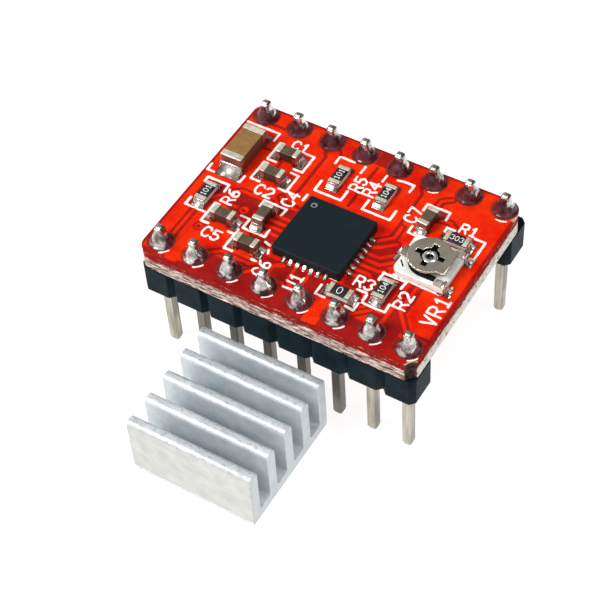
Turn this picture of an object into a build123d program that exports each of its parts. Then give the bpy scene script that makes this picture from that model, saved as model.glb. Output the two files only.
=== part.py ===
from build123d import *
import os
from math import sqrt

# Stepper driver module: a small plug-in carrier board with a driver chip, its passives, a
# current-limit trimmer, two pin headers and a loose stick-on heatsink. All sizes are in mm.
#
# Frame: +Z is up, z = 0 is the plane the pin tips stand on, the origin is the middle of the
# 2 x 8 pin pattern, and X runs along the pin rows.

os.makedirs("parts", exist_ok=True)

# ---------------------------------------------------------------- driving dimensions

# Pins and header strips
PITCH = 2.54
PINS_PER_ROW = 8
ROW_SPACING = 12.70
PIN_SIDE = 0.64
PIN_CHAMFER = 0.20
PIN_FREE_LENGTH = 5.90
PIN_ABOVE_BOARD = 1.45
HEADER_HEIGHT = 2.25
HEADER_WIDTH = 2.54
HEADER_LENGTH = 19.82
HEADER_NOTCH = 0.34
HEADER_GAP = 0.05

# Board and its copper
BOARD_LENGTH = 19.87
BOARD_WIDTH = 14.87
BOARD_CENTRE = (-0.065, -0.165)
BOARD_THICKNESS = 1.50
FRONT_LEFT_RADIUS = 0.90
BACK_LEFT_RADIUS = 0.80
BACK_RIGHT_RADIUS = 1.30
CORNER_BITE_CENTRE = (9.95, -7.70)
CORNER_BITE_RADIUS = 0.50
DRILL_DIAMETER = 1.07
BORE_DIAMETER = 1.00
PAD_DIAMETER = 1.75
COPPER = 0.035
SOLDER_FILM = 0.015

# Soldered pin joints
JOINT_FOOT_RADIUS = 0.82
JOINT_WAIST_RADIUS = 0.58
JOINT_WAIST_HEIGHT = 0.38
JOINT_NECK_RADIUS = 0.50
JOINT_HEIGHT = 1.08

# Height of the levels above z = 0
HEADER_BOTTOM = PIN_FREE_LENGTH
HEADER_TOP = HEADER_BOTTOM + HEADER_HEIGHT
BOARD_BOTTOM = HEADER_TOP + HEADER_GAP
BOARD_TOP = BOARD_BOTTOM + BOARD_THICKNESS
PAD_TOP = BOARD_TOP + COPPER
SEAT = PAD_TOP + SOLDER_FILM
PIN_LENGTH = BOARD_TOP + PIN_ABOVE_BOARD

# Small capacitors and resistors: length, width, height, and the metal band at each end
SMALL_CAPACITOR = (1.60, 0.80, 0.80, 0.35)
SMALL_RESISTOR = (1.60, 0.80, 0.45, 0.30)
BULK_CAPACITOR = (3.20, 1.60, 1.20, 0.50)
END_SKIN = 0.03
END_ROUND = 0.08
CERAMIC_ROUND = 0.05

# Pads, each as the distances from its part's middle at which it starts and ends, and its width,
# and how far the solder climbs the end face above each
SMALL_PAD = (0.45, 1.20, 0.90)
BULK_PAD = (1.10, 2.35, 1.70)
LEAD_PAD = (2.05, 2.80, 0.28)
END_TERMINAL_PAD = (1.40, 2.25, 0.70)
WIPER_TERMINAL_PAD = (1.40, 2.35, 1.10)
SMALL_CLIMB = 0.35
BULK_CLIMB = 0.60
LEAD_CLIMB = 0.16
TERMINAL_CLIMB = 0.30
SOLDER_MARGIN = 0.03
SOLDER_SAG = (0.35, 0.30)

# Middle and turn of each part on the board
BULK_PLACE = ((-8.30, 2.60), 90)
CAPACITOR_PLACES = [
    ((-5.50, 3.65), 0),
    ((-5.50, 1.65), 0),
    ((-4.15, -1.70), 90),
    ((-6.35, -2.95), 0),
    ((-3.80, -4.25), 0),
    ((5.20, 2.95), 86),
]
RESISTOR_PLACES = [
    ((7.55, 2.35), 0),
    ((5.45, -3.35), 90),
    ((3.25, -4.80), 0),
    ((1.75, 3.65), 90),
    ((-1.70, 3.65), 90),
    ((-8.55, -1.65), 90),
]

# Driver chip: a leadless square package with seven contacts a side
CHIP_CENTRE = (0.24, -1.47)
CHIP_SIDE = 4.90
CHIP_HEIGHT = 0.75
CHIP_EDGE_ROUND = 0.06
CHIP_CORNER_ROUND = 0.12
LEADS_PER_SIDE = 7
LEAD_PITCH = 0.50
LEAD_WIDTH = 0.25
LEAD_LENGTH = 0.40
LEAD_THICKNESS = 0.20
THERMAL_SIDE = 3.10
DIE_SIDE = 2.40
DIE_THICKNESS = 0.25
PIN_ONE_DIMPLE = (-1.83, 1.78)
DIMPLE_RADIUS = 0.22
DIMPLE_DEPTH = 0.05

# Trimmer: ceramic base, printed track, three terminals and a pressed metal rotor
TRIMMER_CENTRE = (6.97, -0.14)
TRIMMER_LENGTH = 3.60
TRIMMER_WIDTH = 3.36
TRIMMER_BASE_THICKNESS = 0.40
TRIMMER_CORNER = 0.32
TERMINAL_SHEET = 0.10
TERMINAL_WIDTH = 0.60
END_TERMINAL_Y = 1.38
END_TERMINAL_REACH = 0.79
WIPER_TERMINAL_WIDTH = 0.90
WIPER_FLAP = 0.33
EYELET_RADIUS = 0.30
EYELET_BORE = 0.22
RUNNING_CLEARANCE = 0.01
EYELET_FLANGE_RADIUS = 0.50
EYELET_HEIGHT = 0.95
EYELET_FLANGE = 0.07
TRACK_INNER = 0.95
TRACK_OUTER = 1.38
TRACK_THICKNESS = 0.02
TRACK_END_GAP = 0.04
STOP_GROOVE_INNER = 0.62
STOP_GROOVE_OUTER = 0.95
STOP_GROOVE_DEPTH = 0.12
STOP_HALF_ANGLE = 41
ROTOR_PLATE_RADIUS = 1.43
ROTOR_TAB_LENGTH = 1.50
ROTOR_TAB_WIDTH = 2.06
ROTOR_OPENING_RADIUS = 0.62
ROTOR_SLOT_WIDTH = 0.42
ROTOR_SLOT_LENGTH = 2.00
ROTOR_PLATE_ROUND = 0.05
ROTOR_CUP_RADIUS = 1.15
CUP_LEVEL = 0.75
PLATE_LEVEL = 0.97
ROTOR_WALL = 0.15
ROTOR_BORE = 0.33
ROTOR_HUB_RADIUS = 0.45
CONTACT_CLEARANCE = 0.015
LUG_INNER = 0.68
LUG_OUTER = 0.88
LUG_WIDTH = 0.20

# Levels in the trimmer, above the seat
TRIMMER_BASE_BOTTOM = SEAT + TERMINAL_SHEET
TRIMMER_BASE_TOP = TRIMMER_BASE_BOTTOM + TRIMMER_BASE_THICKNESS
CUP_BOTTOM = SEAT + CUP_LEVEL
CUP_THICKNESS = 0.12
PLATE_BOTTOM = SEAT + PLATE_LEVEL
PLATE_THICKNESS = 0.15

# Heatsink: five fins along X on a thin base, with an adhesive pad under it
HEATSINK_X = (-5.30, 3.70)
HEATSINK_Y = (-16.60, -7.75)
HEATSINK_TOP = 5.00
HEATSINK_FLOOR = 1.05
FIN_COUNT = 5
FIN_THICKNESS = 0.85
FIN_TIP_ROUND = 0.34
GROOVE_ROUND = 0.20
BASE_EDGE_ROUND = 0.30
ADHESIVE_THICKNESS = 0.25
ADHESIVE_INSET = 0.10
LEVEL_TOLERANCE = 0.001

# ---------------------------------------------------------------- shared positions

PIN_X = [(i - (PINS_PER_ROW - 1) / 2) * PITCH for i in range(PINS_PER_ROW)]
ROWS = {"front": -ROW_SPACING / 2, "back": ROW_SPACING / 2}
PIN_POINTS = [(x, y) for y in ROWS.values() for x in PIN_X]
LEAD_OFFSETS = [(i - (LEADS_PER_SIDE - 1) / 2) * LEAD_PITCH for i in range(LEADS_PER_SIDE)]
SMALL_PLACES = CAPACITOR_PLACES + RESISTOR_PLACES
END_TERMINAL_MIDDLES = [-END_TERMINAL_Y, END_TERMINAL_Y]


def place(centre, turn, height=0.0):
    """Location of a part on the board: its middle, its turn about Z, and its height."""
    return Location((centre[0], centre[1], height), (0, 0, turn))


def both_ends(places):
    """Location of each end of each part, with local +X pointing out of that end."""
    return [place(centre, turn + half) for centre, turn in places for half in (0, 180)]


def save(piece, node):
    """Label one finished piece and write it to its own file."""
    piece.part.label = node
    export_step(piece.part, f"parts/{node}.step")


# ---------------------------------------------------------------- board


def make_board():
    """Glass-epoxy board with three rounded corners, a bitten fourth one and sixteen drillings."""
    with BuildPart() as board:
        with BuildSketch(Plane.XY.offset(BOARD_BOTTOM)) as outline:
            with Locations(BOARD_CENTRE):
                Rectangle(BOARD_LENGTH, BOARD_WIDTH)
            fillet(outline.vertices().sort_by(lambda v: v.X + v.Y)[0], FRONT_LEFT_RADIUS)
            fillet(outline.vertices().sort_by(lambda v: v.X - v.Y)[0], BACK_LEFT_RADIUS)
            fillet(outline.vertices().sort_by(lambda v: v.X + v.Y)[-1], BACK_RIGHT_RADIUS)
            with Locations(CORNER_BITE_CENTRE):
                Circle(CORNER_BITE_RADIUS, mode=Mode.SUBTRACT)
            with Locations(*PIN_POINTS):
                Circle(DRILL_DIAMETER / 2, mode=Mode.SUBTRACT)
        extrude(amount=BOARD_THICKNESS)
    return board


def pin_rings(outer_diameter):
    """Draw one ring round every pin, open at the plated bore, in the current sketch."""
    with Locations(*PIN_POINTS):
        Circle(outer_diameter / 2)
        Circle(BORE_DIAMETER / 2, mode=Mode.SUBTRACT)


def one_pad(spot, pad):
    """Draw a pad in the current sketch, along +X of the given location."""
    start, end, width = pad
    with Locations(spot):
        with Locations(((start + end) / 2, 0)):
            Rectangle(end - start, width)


def make_board_copper():
    """Plated holes with a ring on each face, and the surface pads of every part."""
    with BuildPart() as copper:
        with BuildSketch(Plane.XY.offset(BOARD_BOTTOM - COPPER)):
            pin_rings(PAD_DIAMETER)
        extrude(amount=COPPER)
        with BuildSketch(Plane.XY.offset(BOARD_BOTTOM)):
            pin_rings(DRILL_DIAMETER)
        extrude(amount=BOARD_THICKNESS)
        with BuildSketch(Plane.XY.offset(BOARD_TOP)):
            pin_rings(PAD_DIAMETER)
            for spot in both_ends(SMALL_PLACES):
                one_pad(spot, SMALL_PAD)
            for spot in both_ends([BULK_PLACE]):
                one_pad(spot, BULK_PAD)
            with Locations(CHIP_CENTRE):
                Rectangle(THERMAL_SIDE, THERMAL_SIDE)
                with PolarLocations(0, 4):
                    for y in LEAD_OFFSETS:
                        one_pad((0, y), LEAD_PAD)
            for y in END_TERMINAL_MIDDLES:
                one_pad(place((TRIMMER_CENTRE[0], TRIMMER_CENTRE[1] + y), 0), END_TERMINAL_PAD)
            one_pad(place(TRIMMER_CENTRE, 180), WIPER_TERMINAL_PAD)
        extrude(amount=COPPER)
    return copper


# ---------------------------------------------------------------- headers, pins and their solder


def make_header(row_y):
    """Eight-way moulded strip, notched between the ways, with a square hole for each pin."""
    with BuildPart() as header:
        with BuildSketch(Plane.XY.offset(HEADER_BOTTOM)) as strip:
            with Locations((0, row_y)):
                Rectangle(HEADER_LENGTH, HEADER_WIDTH)
            chamfer(strip.vertices(), HEADER_NOTCH)
            notches = [
                ((PIN_X[i] + PIN_X[i + 1]) / 2, row_y + side * HEADER_WIDTH / 2)
                for i in range(PINS_PER_ROW - 1)
                for side in (-1, 1)
            ]
            with Locations(*notches):
                Rectangle(HEADER_NOTCH * sqrt(2), HEADER_NOTCH * sqrt(2), rotation=45, mode=Mode.SUBTRACT)
            with Locations(*[(x, row_y) for x in PIN_X]):
                Rectangle(PIN_SIDE, PIN_SIDE, mode=Mode.SUBTRACT)
        extrude(amount=HEADER_HEIGHT)
    return header


def make_pin(x, y):
    """Square pin, chamfered at both ends."""
    with BuildPart() as pin:
        with BuildSketch():
            with Locations((x, y)):
                Rectangle(PIN_SIDE, PIN_SIDE)
        extrude(amount=PIN_LENGTH)
        chamfer(pin.faces().sort_by(Axis.Z)[0].edges(), PIN_CHAMFER)
        chamfer(pin.faces().sort_by(Axis.Z)[-1].edges(), PIN_CHAMFER)
    return pin


def make_pin_solder():
    """One soldered pin joint at the origin: the filled bore and the cone that climbs the pin."""
    neck = (JOINT_NECK_RADIUS, BOARD_TOP + JOINT_HEIGHT)
    with BuildPart() as joint:
        with BuildSketch(Plane.XZ):
            with BuildLine():
                bore = Polyline(
                    (0, neck[1]),
                    (0, BOARD_BOTTOM - COPPER),
                    (BORE_DIAMETER / 2, BOARD_BOTTOM - COPPER),
                    (BORE_DIAMETER / 2, PAD_TOP),
                    (JOINT_FOOT_RADIUS, PAD_TOP),
                )
                ThreePointArc(bore @ 1, (JOINT_WAIST_RADIUS, PAD_TOP + JOINT_WAIST_HEIGHT), neck)
                Line(neck, bore @ 0)
            make_face()
        revolve(axis=Axis.Z)
        with BuildSketch():
            Rectangle(PIN_SIDE, PIN_SIDE)
        extrude(amount=PIN_LENGTH, mode=Mode.SUBTRACT)
    return joint


def make_solder_row(row_y):
    """The eight joints of one row."""
    joint = make_pin_solder()
    with BuildPart() as row:
        with Locations(*[(x, row_y) for x in PIN_X]):
            add(joint.part)
    return row


# ---------------------------------------------------------------- surface solder


def make_wedge(pad, face, climb):
    """
    Solder of one end at the origin, along +X: a thin layer on the pad from its inner edge, and a
    hollow fillet that climbs the part's end face.
    """
    start, end, pad_width = pad
    width = pad_width - 2 * SOLDER_MARGIN
    top = (face, SEAT + climb)
    sag_across, sag_up = SOLDER_SAG
    sag = (face + sag_across * (end - face), SEAT + sag_up * climb)
    with BuildPart() as wedge:
        with BuildSketch(Plane.XZ):
            with BuildLine():
                pad_line = Polyline(top, (face, SEAT), (start, SEAT), (start, PAD_TOP), (end, PAD_TOP))
                ThreePointArc(pad_line @ 1, sag, top)
            make_face()
        extrude(amount=width / 2, both=True)
    return wedge


def make_surface_solder():
    """Solder of every surface-mounted part, and the layer under the chip's thermal pad."""
    small = make_wedge(SMALL_PAD, SMALL_CAPACITOR[0] / 2, SMALL_CLIMB)
    bulk = make_wedge(BULK_PAD, BULK_CAPACITOR[0] / 2, BULK_CLIMB)
    lead = make_wedge(LEAD_PAD, CHIP_SIDE / 2, LEAD_CLIMB)
    trimmer_edge = TRIMMER_LENGTH / 2
    end_toe = make_wedge(END_TERMINAL_PAD, trimmer_edge + TERMINAL_SHEET / 2, TERMINAL_CLIMB)
    wiper_toe = make_wedge(WIPER_TERMINAL_PAD, trimmer_edge + TERMINAL_SHEET, TERMINAL_CLIMB)
    with BuildPart() as solder:
        with Locations(*both_ends(SMALL_PLACES)):
            add(small.part)
        with Locations(*both_ends([BULK_PLACE])):
            add(bulk.part)
        with Locations(place(CHIP_CENTRE, 0)):
            with PolarLocations(0, 4):
                with Locations(*[(0, y) for y in LEAD_OFFSETS]):
                    add(lead.part)
        with BuildSketch(Plane.XY.offset(PAD_TOP)):
            with Locations(CHIP_CENTRE):
                Rectangle(THERMAL_SIDE, THERMAL_SIDE)
        extrude(amount=SEAT - PAD_TOP)
        with Locations(*[place((TRIMMER_CENTRE[0], TRIMMER_CENTRE[1] + y), 0) for y in END_TERMINAL_MIDDLES]):
            add(end_toe.part)
        with Locations(place(TRIMMER_CENTRE, 180)):
            add(wiper_toe.part)
    return solder


# ---------------------------------------------------------------- capacitors and resistors


def make_capacitor(size):
    """Layered ceramic block at the origin, and its two rounded metal end caps."""
    length, width, height, band = size
    with BuildPart() as body:
        with BuildSketch(Plane.XY.offset(END_SKIN)):
            Rectangle(length - 2 * END_SKIN, width - 2 * END_SKIN)
        extrude(amount=height - 2 * END_SKIN)
        fillet(body.edges(), CERAMIC_ROUND)
    with BuildPart() as ends:
        with BuildSketch():
            Rectangle(length, width)
        extrude(amount=height)
        fillet(ends.edges(), END_ROUND)
        with BuildSketch(Plane.XY.offset(-height)):
            Rectangle(length - 2 * band, 2 * width)
        extrude(amount=3 * height, mode=Mode.SUBTRACT)
        add(body.part, mode=Mode.SUBTRACT)
    return body, ends


def make_resistor(size):
    """Flat ceramic chip at the origin with its glass cover, and the two folded end bands."""
    length, width, height, band = size
    with BuildPart() as body:
        with BuildSketch(Plane.XY.offset(END_SKIN)):
            Rectangle(length - 2 * END_SKIN, width)
        extrude(amount=height - 2 * END_SKIN)
        with BuildSketch(Plane.XY.offset(height - END_SKIN)):
            Rectangle(length - 2 * band, width - 2 * END_SKIN)
        extrude(amount=END_SKIN)
    with BuildPart() as ends:
        with BuildSketch():
            Rectangle(length, width)
        extrude(amount=height)
        with BuildSketch(Plane.XY.offset(-height)):
            Rectangle(length - 2 * band, 2 * width)
        extrude(amount=3 * height, mode=Mode.SUBTRACT)
        add(body.part, mode=Mode.SUBTRACT)
    return body, ends


def save_placed(prototype, spot, node):
    """Put a copy of a prototype at its spot on the board and save it."""
    with BuildPart() as piece:
        with Locations(spot):
            add(prototype.part)
    save(piece, node)


def save_pair(pair, placing, name):
    """Save the body and the ends of one two-ended part."""
    spot = place(placing[0], placing[1], SEAT)
    save_placed(pair[0], spot, f"{name}_body")
    save_placed(pair[1], spot, f"{name}_ends")


# ---------------------------------------------------------------- driver chip


def make_chip_leads():
    """Twenty-eight copper contacts, flush with the underside and the sides of the package."""
    with BuildPart() as leads:
        with BuildSketch(Plane.XY.offset(SEAT)):
            with Locations(CHIP_CENTRE):
                with PolarLocations(0, 4):
                    with Locations(*[((CHIP_SIDE - LEAD_LENGTH) / 2, y) for y in LEAD_OFFSETS]):
                        Rectangle(LEAD_LENGTH, LEAD_WIDTH)
        extrude(amount=LEAD_THICKNESS)
    return leads


def make_slab(centre, side, bottom, thickness):
    """Square slab, used for the thermal pad and the silicon die."""
    with BuildPart() as slab:
        with BuildSketch(Plane.XY.offset(bottom)):
            with Locations(centre):
                Rectangle(side, side)
        extrude(amount=thickness)
    return slab


def make_mold_body(inner_pieces):
    """Moulded package round its contacts, thermal pad and die, with a pin-one dimple on top."""
    with BuildPart() as body:
        with BuildSketch(Plane.XY.offset(SEAT)):
            with Locations(CHIP_CENTRE):
                Rectangle(CHIP_SIDE, CHIP_SIDE)
        extrude(amount=CHIP_HEIGHT)
        fillet(body.edges().filter_by(Axis.Z), CHIP_CORNER_ROUND)
        fillet(body.faces().sort_by(Axis.Z)[-1].edges(), CHIP_EDGE_ROUND)
        with BuildSketch(Plane.XY.offset(SEAT + CHIP_HEIGHT)):
            with Locations((CHIP_CENTRE[0] + PIN_ONE_DIMPLE[0], CHIP_CENTRE[1] + PIN_ONE_DIMPLE[1])):
                Circle(DIMPLE_RADIUS)
        extrude(amount=-DIMPLE_DEPTH, mode=Mode.SUBTRACT)
        for piece in inner_pieces:
            add(piece.part, mode=Mode.SUBTRACT)
    return body


# ---------------------------------------------------------------- trimmer


def trimmer_plane(height):
    """Horizontal plane at a height, with its origin on the trimmer's turning axis."""
    return Plane(origin=(TRIMMER_CENTRE[0], TRIMMER_CENTRE[1], height))


def make_trimmer_base():
    """Ceramic base with the eyelet hole and the stop groove that ends the rotor's turn."""
    with BuildPart() as base:
        with BuildSketch(trimmer_plane(TRIMMER_BASE_BOTTOM)) as outline:
            Rectangle(TRIMMER_LENGTH, TRIMMER_WIDTH)
            chamfer(outline.vertices().group_by(Axis.X)[0], TRIMMER_CORNER)
            Circle(EYELET_RADIUS + RUNNING_CLEARANCE, mode=Mode.SUBTRACT)
        extrude(amount=TRIMMER_BASE_THICKNESS)
        with BuildSketch(trimmer_plane(TRIMMER_BASE_TOP)):
            Circle(STOP_GROOVE_OUTER)
            Circle(STOP_GROOVE_INNER, mode=Mode.SUBTRACT)
            with BuildLine():
                sweep_in = CenterArc((0, 0), 2 * STOP_GROOVE_OUTER, -STOP_HALF_ANGLE, 2 * STOP_HALF_ANGLE)
                Polyline(sweep_in @ 0, (0, 0), sweep_in @ 1)
            make_face(mode=Mode.SUBTRACT)
        extrude(amount=-STOP_GROOVE_DEPTH, mode=Mode.SUBTRACT)
    return base


def make_trimmer_track():
    """Printed resistive horseshoe, with a leg to each end terminal."""
    leg_width = TRACK_OUTER - TRACK_INNER
    leg_length = TRIMMER_LENGTH / 2 - END_TERMINAL_REACH - TRACK_END_GAP
    with BuildPart() as track:
        with BuildSketch(trimmer_plane(TRIMMER_BASE_TOP)):
            Circle(TRACK_OUTER)
            Circle(TRACK_INNER, mode=Mode.SUBTRACT)
            with Locations((TRACK_OUTER, 0)):
                Rectangle(2 * TRACK_OUTER, 2 * TRACK_OUTER, mode=Mode.SUBTRACT)
            for side in (-1, 1):
                with Locations((leg_length / 2, side * (TRACK_INNER + TRACK_OUTER) / 2)):
                    Rectangle(leg_length, leg_width)
        extrude(amount=TRACK_THICKNESS)
    return track


def box_between(low, high):
    """Add a rectangular block between two corners, given from the trimmer's axis and the seat."""
    size = [b - a for a, b in zip(low, high)]
    corner = (TRIMMER_CENTRE[0] + low[0], TRIMMER_CENTRE[1] + low[1], SEAT + low[2])
    with Locations(corner):
        Box(*size, align=(Align.MIN, Align.MIN, Align.MIN))


def make_end_terminals():
    """Two plated clips folded round the right edge of the base, one at each end of the track."""
    edge = TRIMMER_LENGTH / 2
    top = TERMINAL_SHEET + TRIMMER_BASE_THICKNESS
    reach = edge - END_TERMINAL_REACH
    skin = TERMINAL_SHEET / 2
    with BuildPart() as terminals:
        for middle in END_TERMINAL_MIDDLES:
            low_y = middle - TERMINAL_WIDTH / 2
            high_y = middle + TERMINAL_WIDTH / 2
            box_between((reach, low_y, top), (edge + skin, high_y, top + TERMINAL_SHEET))
            box_between((edge, low_y, 0), (edge + skin, high_y, top))
            box_between((reach, low_y, 0), (edge, high_y, TERMINAL_SHEET))
    return terminals


def make_wiper_terminal():
    """Strip under the base, folded up round its left edge, with the eyelet that holds the rotor."""
    edge = -TRIMMER_LENGTH / 2
    half = WIPER_TERMINAL_WIDTH / 2
    top = TERMINAL_SHEET + TRIMMER_BASE_THICKNESS
    with BuildPart() as terminal:
        box_between((edge - TERMINAL_SHEET, -half, 0), (half, half, TERMINAL_SHEET))
        box_between((edge - TERMINAL_SHEET, -half, 0), (edge, half, top + TERMINAL_SHEET))
        box_between((edge - TERMINAL_SHEET, -half, top), (edge + WIPER_FLAP, half, top + TERMINAL_SHEET))
        with BuildSketch(trimmer_plane(SEAT)):
            Circle(EYELET_RADIUS)
        extrude(amount=EYELET_HEIGHT)
        with BuildSketch(trimmer_plane(SEAT + EYELET_HEIGHT - EYELET_FLANGE)):
            Circle(EYELET_FLANGE_RADIUS)
        extrude(amount=EYELET_FLANGE)
        rim = terminal.edges().filter_by(GeomType.CIRCLE).group_by(Axis.Z)[-1]
        fillet(rim, EYELET_FLANGE / 2)
        with BuildSketch(trimmer_plane(SEAT)):
            Circle(EYELET_BORE)
        extrude(amount=EYELET_HEIGHT, mode=Mode.SUBTRACT)
    return terminal


def make_trimmer_rotor():
    """
    Pressed rotor: a top plate with a tab and a cross opening for the screwdriver, on a shallow
    cup that turns on the eyelet. A contact leg runs on the track and a lug runs in the stop
    groove, both opposite the tab.
    """
    wall_inner = ROTOR_CUP_RADIUS - ROTOR_WALL
    leg_inner = TRACK_INNER
    with BuildPart() as rotor:
        with BuildSketch(trimmer_plane(PLATE_BOTTOM)):
            Circle(ROTOR_PLATE_RADIUS)
            with Locations((ROTOR_TAB_LENGTH / 2, 0)):
                Rectangle(ROTOR_TAB_LENGTH, ROTOR_TAB_WIDTH)
        extrude(amount=PLATE_THICKNESS)
        fillet(rotor.faces().sort_by(Axis.Z)[-1].edges(), ROTOR_PLATE_ROUND)
        with BuildSketch(trimmer_plane(PLATE_BOTTOM)):
            Circle(ROTOR_OPENING_RADIUS)
            Rectangle(ROTOR_SLOT_LENGTH, ROTOR_SLOT_WIDTH)
            Rectangle(ROTOR_SLOT_WIDTH, ROTOR_SLOT_LENGTH)
        extrude(amount=PLATE_THICKNESS, mode=Mode.SUBTRACT)
        with BuildSketch(trimmer_plane(CUP_BOTTOM + CUP_THICKNESS)):
            Circle(ROTOR_CUP_RADIUS)
            Circle(wall_inner, mode=Mode.SUBTRACT)
        extrude(amount=PLATE_BOTTOM - CUP_BOTTOM - CUP_THICKNESS)
        with BuildSketch(trimmer_plane(CUP_BOTTOM)):
            Circle(ROTOR_CUP_RADIUS)
            Circle(ROTOR_BORE, mode=Mode.SUBTRACT)
        extrude(amount=CUP_THICKNESS)
        hub_bottom = TRIMMER_BASE_TOP + RUNNING_CLEARANCE
        with BuildSketch(trimmer_plane(hub_bottom)):
            Circle(ROTOR_HUB_RADIUS)
            Circle(ROTOR_BORE, mode=Mode.SUBTRACT)
        extrude(amount=CUP_BOTTOM - hub_bottom)
        leg_bottom = TRIMMER_BASE_TOP + TRACK_THICKNESS + CONTACT_CLEARANCE
        with BuildSketch(trimmer_plane(leg_bottom)):
            with Locations((-(leg_inner + ROTOR_CUP_RADIUS) / 2, 0)):
                Rectangle(ROTOR_CUP_RADIUS - leg_inner, LUG_WIDTH)
        extrude(amount=CUP_BOTTOM - leg_bottom)
        lug_bottom = TRIMMER_BASE_TOP - STOP_GROOVE_DEPTH / 2
        with BuildSketch(trimmer_plane(lug_bottom)):
            with Locations((-(LUG_INNER + LUG_OUTER) / 2, 0)):
                Rectangle(LUG_OUTER - LUG_INNER, LUG_WIDTH)
        extrude(amount=CUP_BOTTOM - lug_bottom)
    return rotor


# ---------------------------------------------------------------- heatsink


def at_level(vertices, level):
    """The vertices of a sketch at one height of that sketch."""
    return vertices.filter_by_position(Axis.Y, level - LEVEL_TOLERANCE, level + LEVEL_TOLERANCE)


def make_heatsink():
    """Extruded aluminium with five fins, all edges of its section softly rounded."""
    front, back = HEATSINK_Y
    bottom = ADHESIVE_THICKNESS
    fin_pitch = (back - front - FIN_THICKNESS) / (FIN_COUNT - 1)
    groove = fin_pitch - FIN_THICKNESS
    groove_middles = [front + FIN_THICKNESS + groove / 2 + i * fin_pitch for i in range(FIN_COUNT - 1)]
    with BuildPart() as heatsink:
        with BuildSketch(Plane.YZ.offset(HEATSINK_X[0])) as section:
            with Locations(((front + back) / 2, (bottom + HEATSINK_TOP) / 2)):
                Rectangle(back - front, HEATSINK_TOP - bottom)
            with Locations(*[(y, HEATSINK_TOP) for y in groove_middles]):
                Rectangle(groove, 2 * (HEATSINK_TOP - HEATSINK_FLOOR), mode=Mode.SUBTRACT)
            fillet(at_level(section.vertices(), bottom), BASE_EDGE_ROUND)
            fillet(at_level(section.vertices(), HEATSINK_FLOOR), GROOVE_ROUND)
            fillet(at_level(section.vertices(), HEATSINK_TOP), FIN_TIP_ROUND)
        extrude(amount=HEATSINK_X[1] - HEATSINK_X[0])
    return heatsink


def make_adhesive_pad():
    """Double-sided thermal tape under the heatsink."""
    middle = (sum(HEATSINK_X) / 2, sum(HEATSINK_Y) / 2)
    with BuildPart() as pad:
        with BuildSketch():
            with Locations(middle):
                Rectangle(
                    HEATSINK_X[1] - HEATSINK_X[0] - 2 * ADHESIVE_INSET,
                    HEATSINK_Y[1] - HEATSINK_Y[0] - 2 * ADHESIVE_INSET,
                )
        extrude(amount=ADHESIVE_THICKNESS)
    return pad


# ---------------------------------------------------------------- the whole module

save(make_board(), "pcb")
save(make_board_copper(), "board_copper")

for row, row_y in ROWS.items():
    save(make_header(row_y), f"header_{row}")
    save(make_solder_row(row_y), f"solder_{row}")
    for number, pin_x in enumerate(PIN_X, start=1):
        save(make_pin(pin_x, row_y), f"pin_{row}_{number}")

save(make_surface_solder(), "smd_solder")

chip_leads = make_chip_leads()
chip_thermal_pad = make_slab(CHIP_CENTRE, THERMAL_SIDE, SEAT, LEAD_THICKNESS)
chip_die = make_slab(CHIP_CENTRE, DIE_SIDE, SEAT + LEAD_THICKNESS, DIE_THICKNESS)
save(chip_leads, "chip_leads")
save(chip_thermal_pad, "chip_thermal_pad")
save(chip_die, "chip_die")
save(make_mold_body([chip_leads, chip_thermal_pad, chip_die]), "chip_mold_body")

save_pair(make_capacitor(BULK_CAPACITOR), BULK_PLACE, "bulk_capacitor")
small_capacitor = make_capacitor(SMALL_CAPACITOR)
for number, placing in enumerate(CAPACITOR_PLACES, start=1):
    save_pair(small_capacitor, placing, f"capacitor_{number}")
small_resistor = make_resistor(SMALL_RESISTOR)
for number, placing in enumerate(RESISTOR_PLACES, start=1):
    save_pair(small_resistor, placing, f"resistor_{number}")

save(make_trimmer_base(), "trimmer_base")
save(make_trimmer_track(), "trimmer_track")
save(make_end_terminals(), "trimmer_end_terminals")
save(make_wiper_terminal(), "trimmer_wiper_terminal")
save(make_trimmer_rotor(), "trimmer_rotor")

save(make_heatsink(), "heatsink")
save(make_adhesive_pad(), "heatsink_adhesive_pad")
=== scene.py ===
"""
Looks of the stepper driver module and its loose heatsink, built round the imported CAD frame.
Lengths are typed in millimetres and multiplied by MM where they meet Blender, which is in metres.
"""

import math

import bmesh
import bpy
import numpy as np
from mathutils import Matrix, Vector, noise


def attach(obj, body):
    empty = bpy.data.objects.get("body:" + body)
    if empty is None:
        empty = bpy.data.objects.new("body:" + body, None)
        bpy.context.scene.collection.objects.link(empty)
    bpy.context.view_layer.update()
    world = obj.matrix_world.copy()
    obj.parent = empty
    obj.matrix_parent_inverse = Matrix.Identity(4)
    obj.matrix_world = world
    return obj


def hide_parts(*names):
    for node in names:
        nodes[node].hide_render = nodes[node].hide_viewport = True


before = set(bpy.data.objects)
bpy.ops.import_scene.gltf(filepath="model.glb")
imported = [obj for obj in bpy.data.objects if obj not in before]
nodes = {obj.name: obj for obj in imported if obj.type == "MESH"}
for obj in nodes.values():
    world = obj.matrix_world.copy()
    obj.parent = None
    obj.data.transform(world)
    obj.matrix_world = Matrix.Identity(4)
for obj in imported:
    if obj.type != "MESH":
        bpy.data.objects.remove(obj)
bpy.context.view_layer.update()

MM = 0.001
PITCH = 2.54
PIN_HALF = 0.32
PIN_X = [(i - 3.5) * PITCH for i in range(8)]
ROW_Y = 6.35
PAD_RADIUS = 0.875
BOARD_TOP = 9.70
BOARD_BOTTOM = 8.20
PAD_TOP = 9.735
SEAT = 9.75
CHIP = (0.24, -1.47)
CHIP_TOP = SEAT + 0.75
TRIMMER = (6.97, -0.14)
DIMPLE = (-1.59, 0.31)


# ---------------- colours and shader helpers


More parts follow.
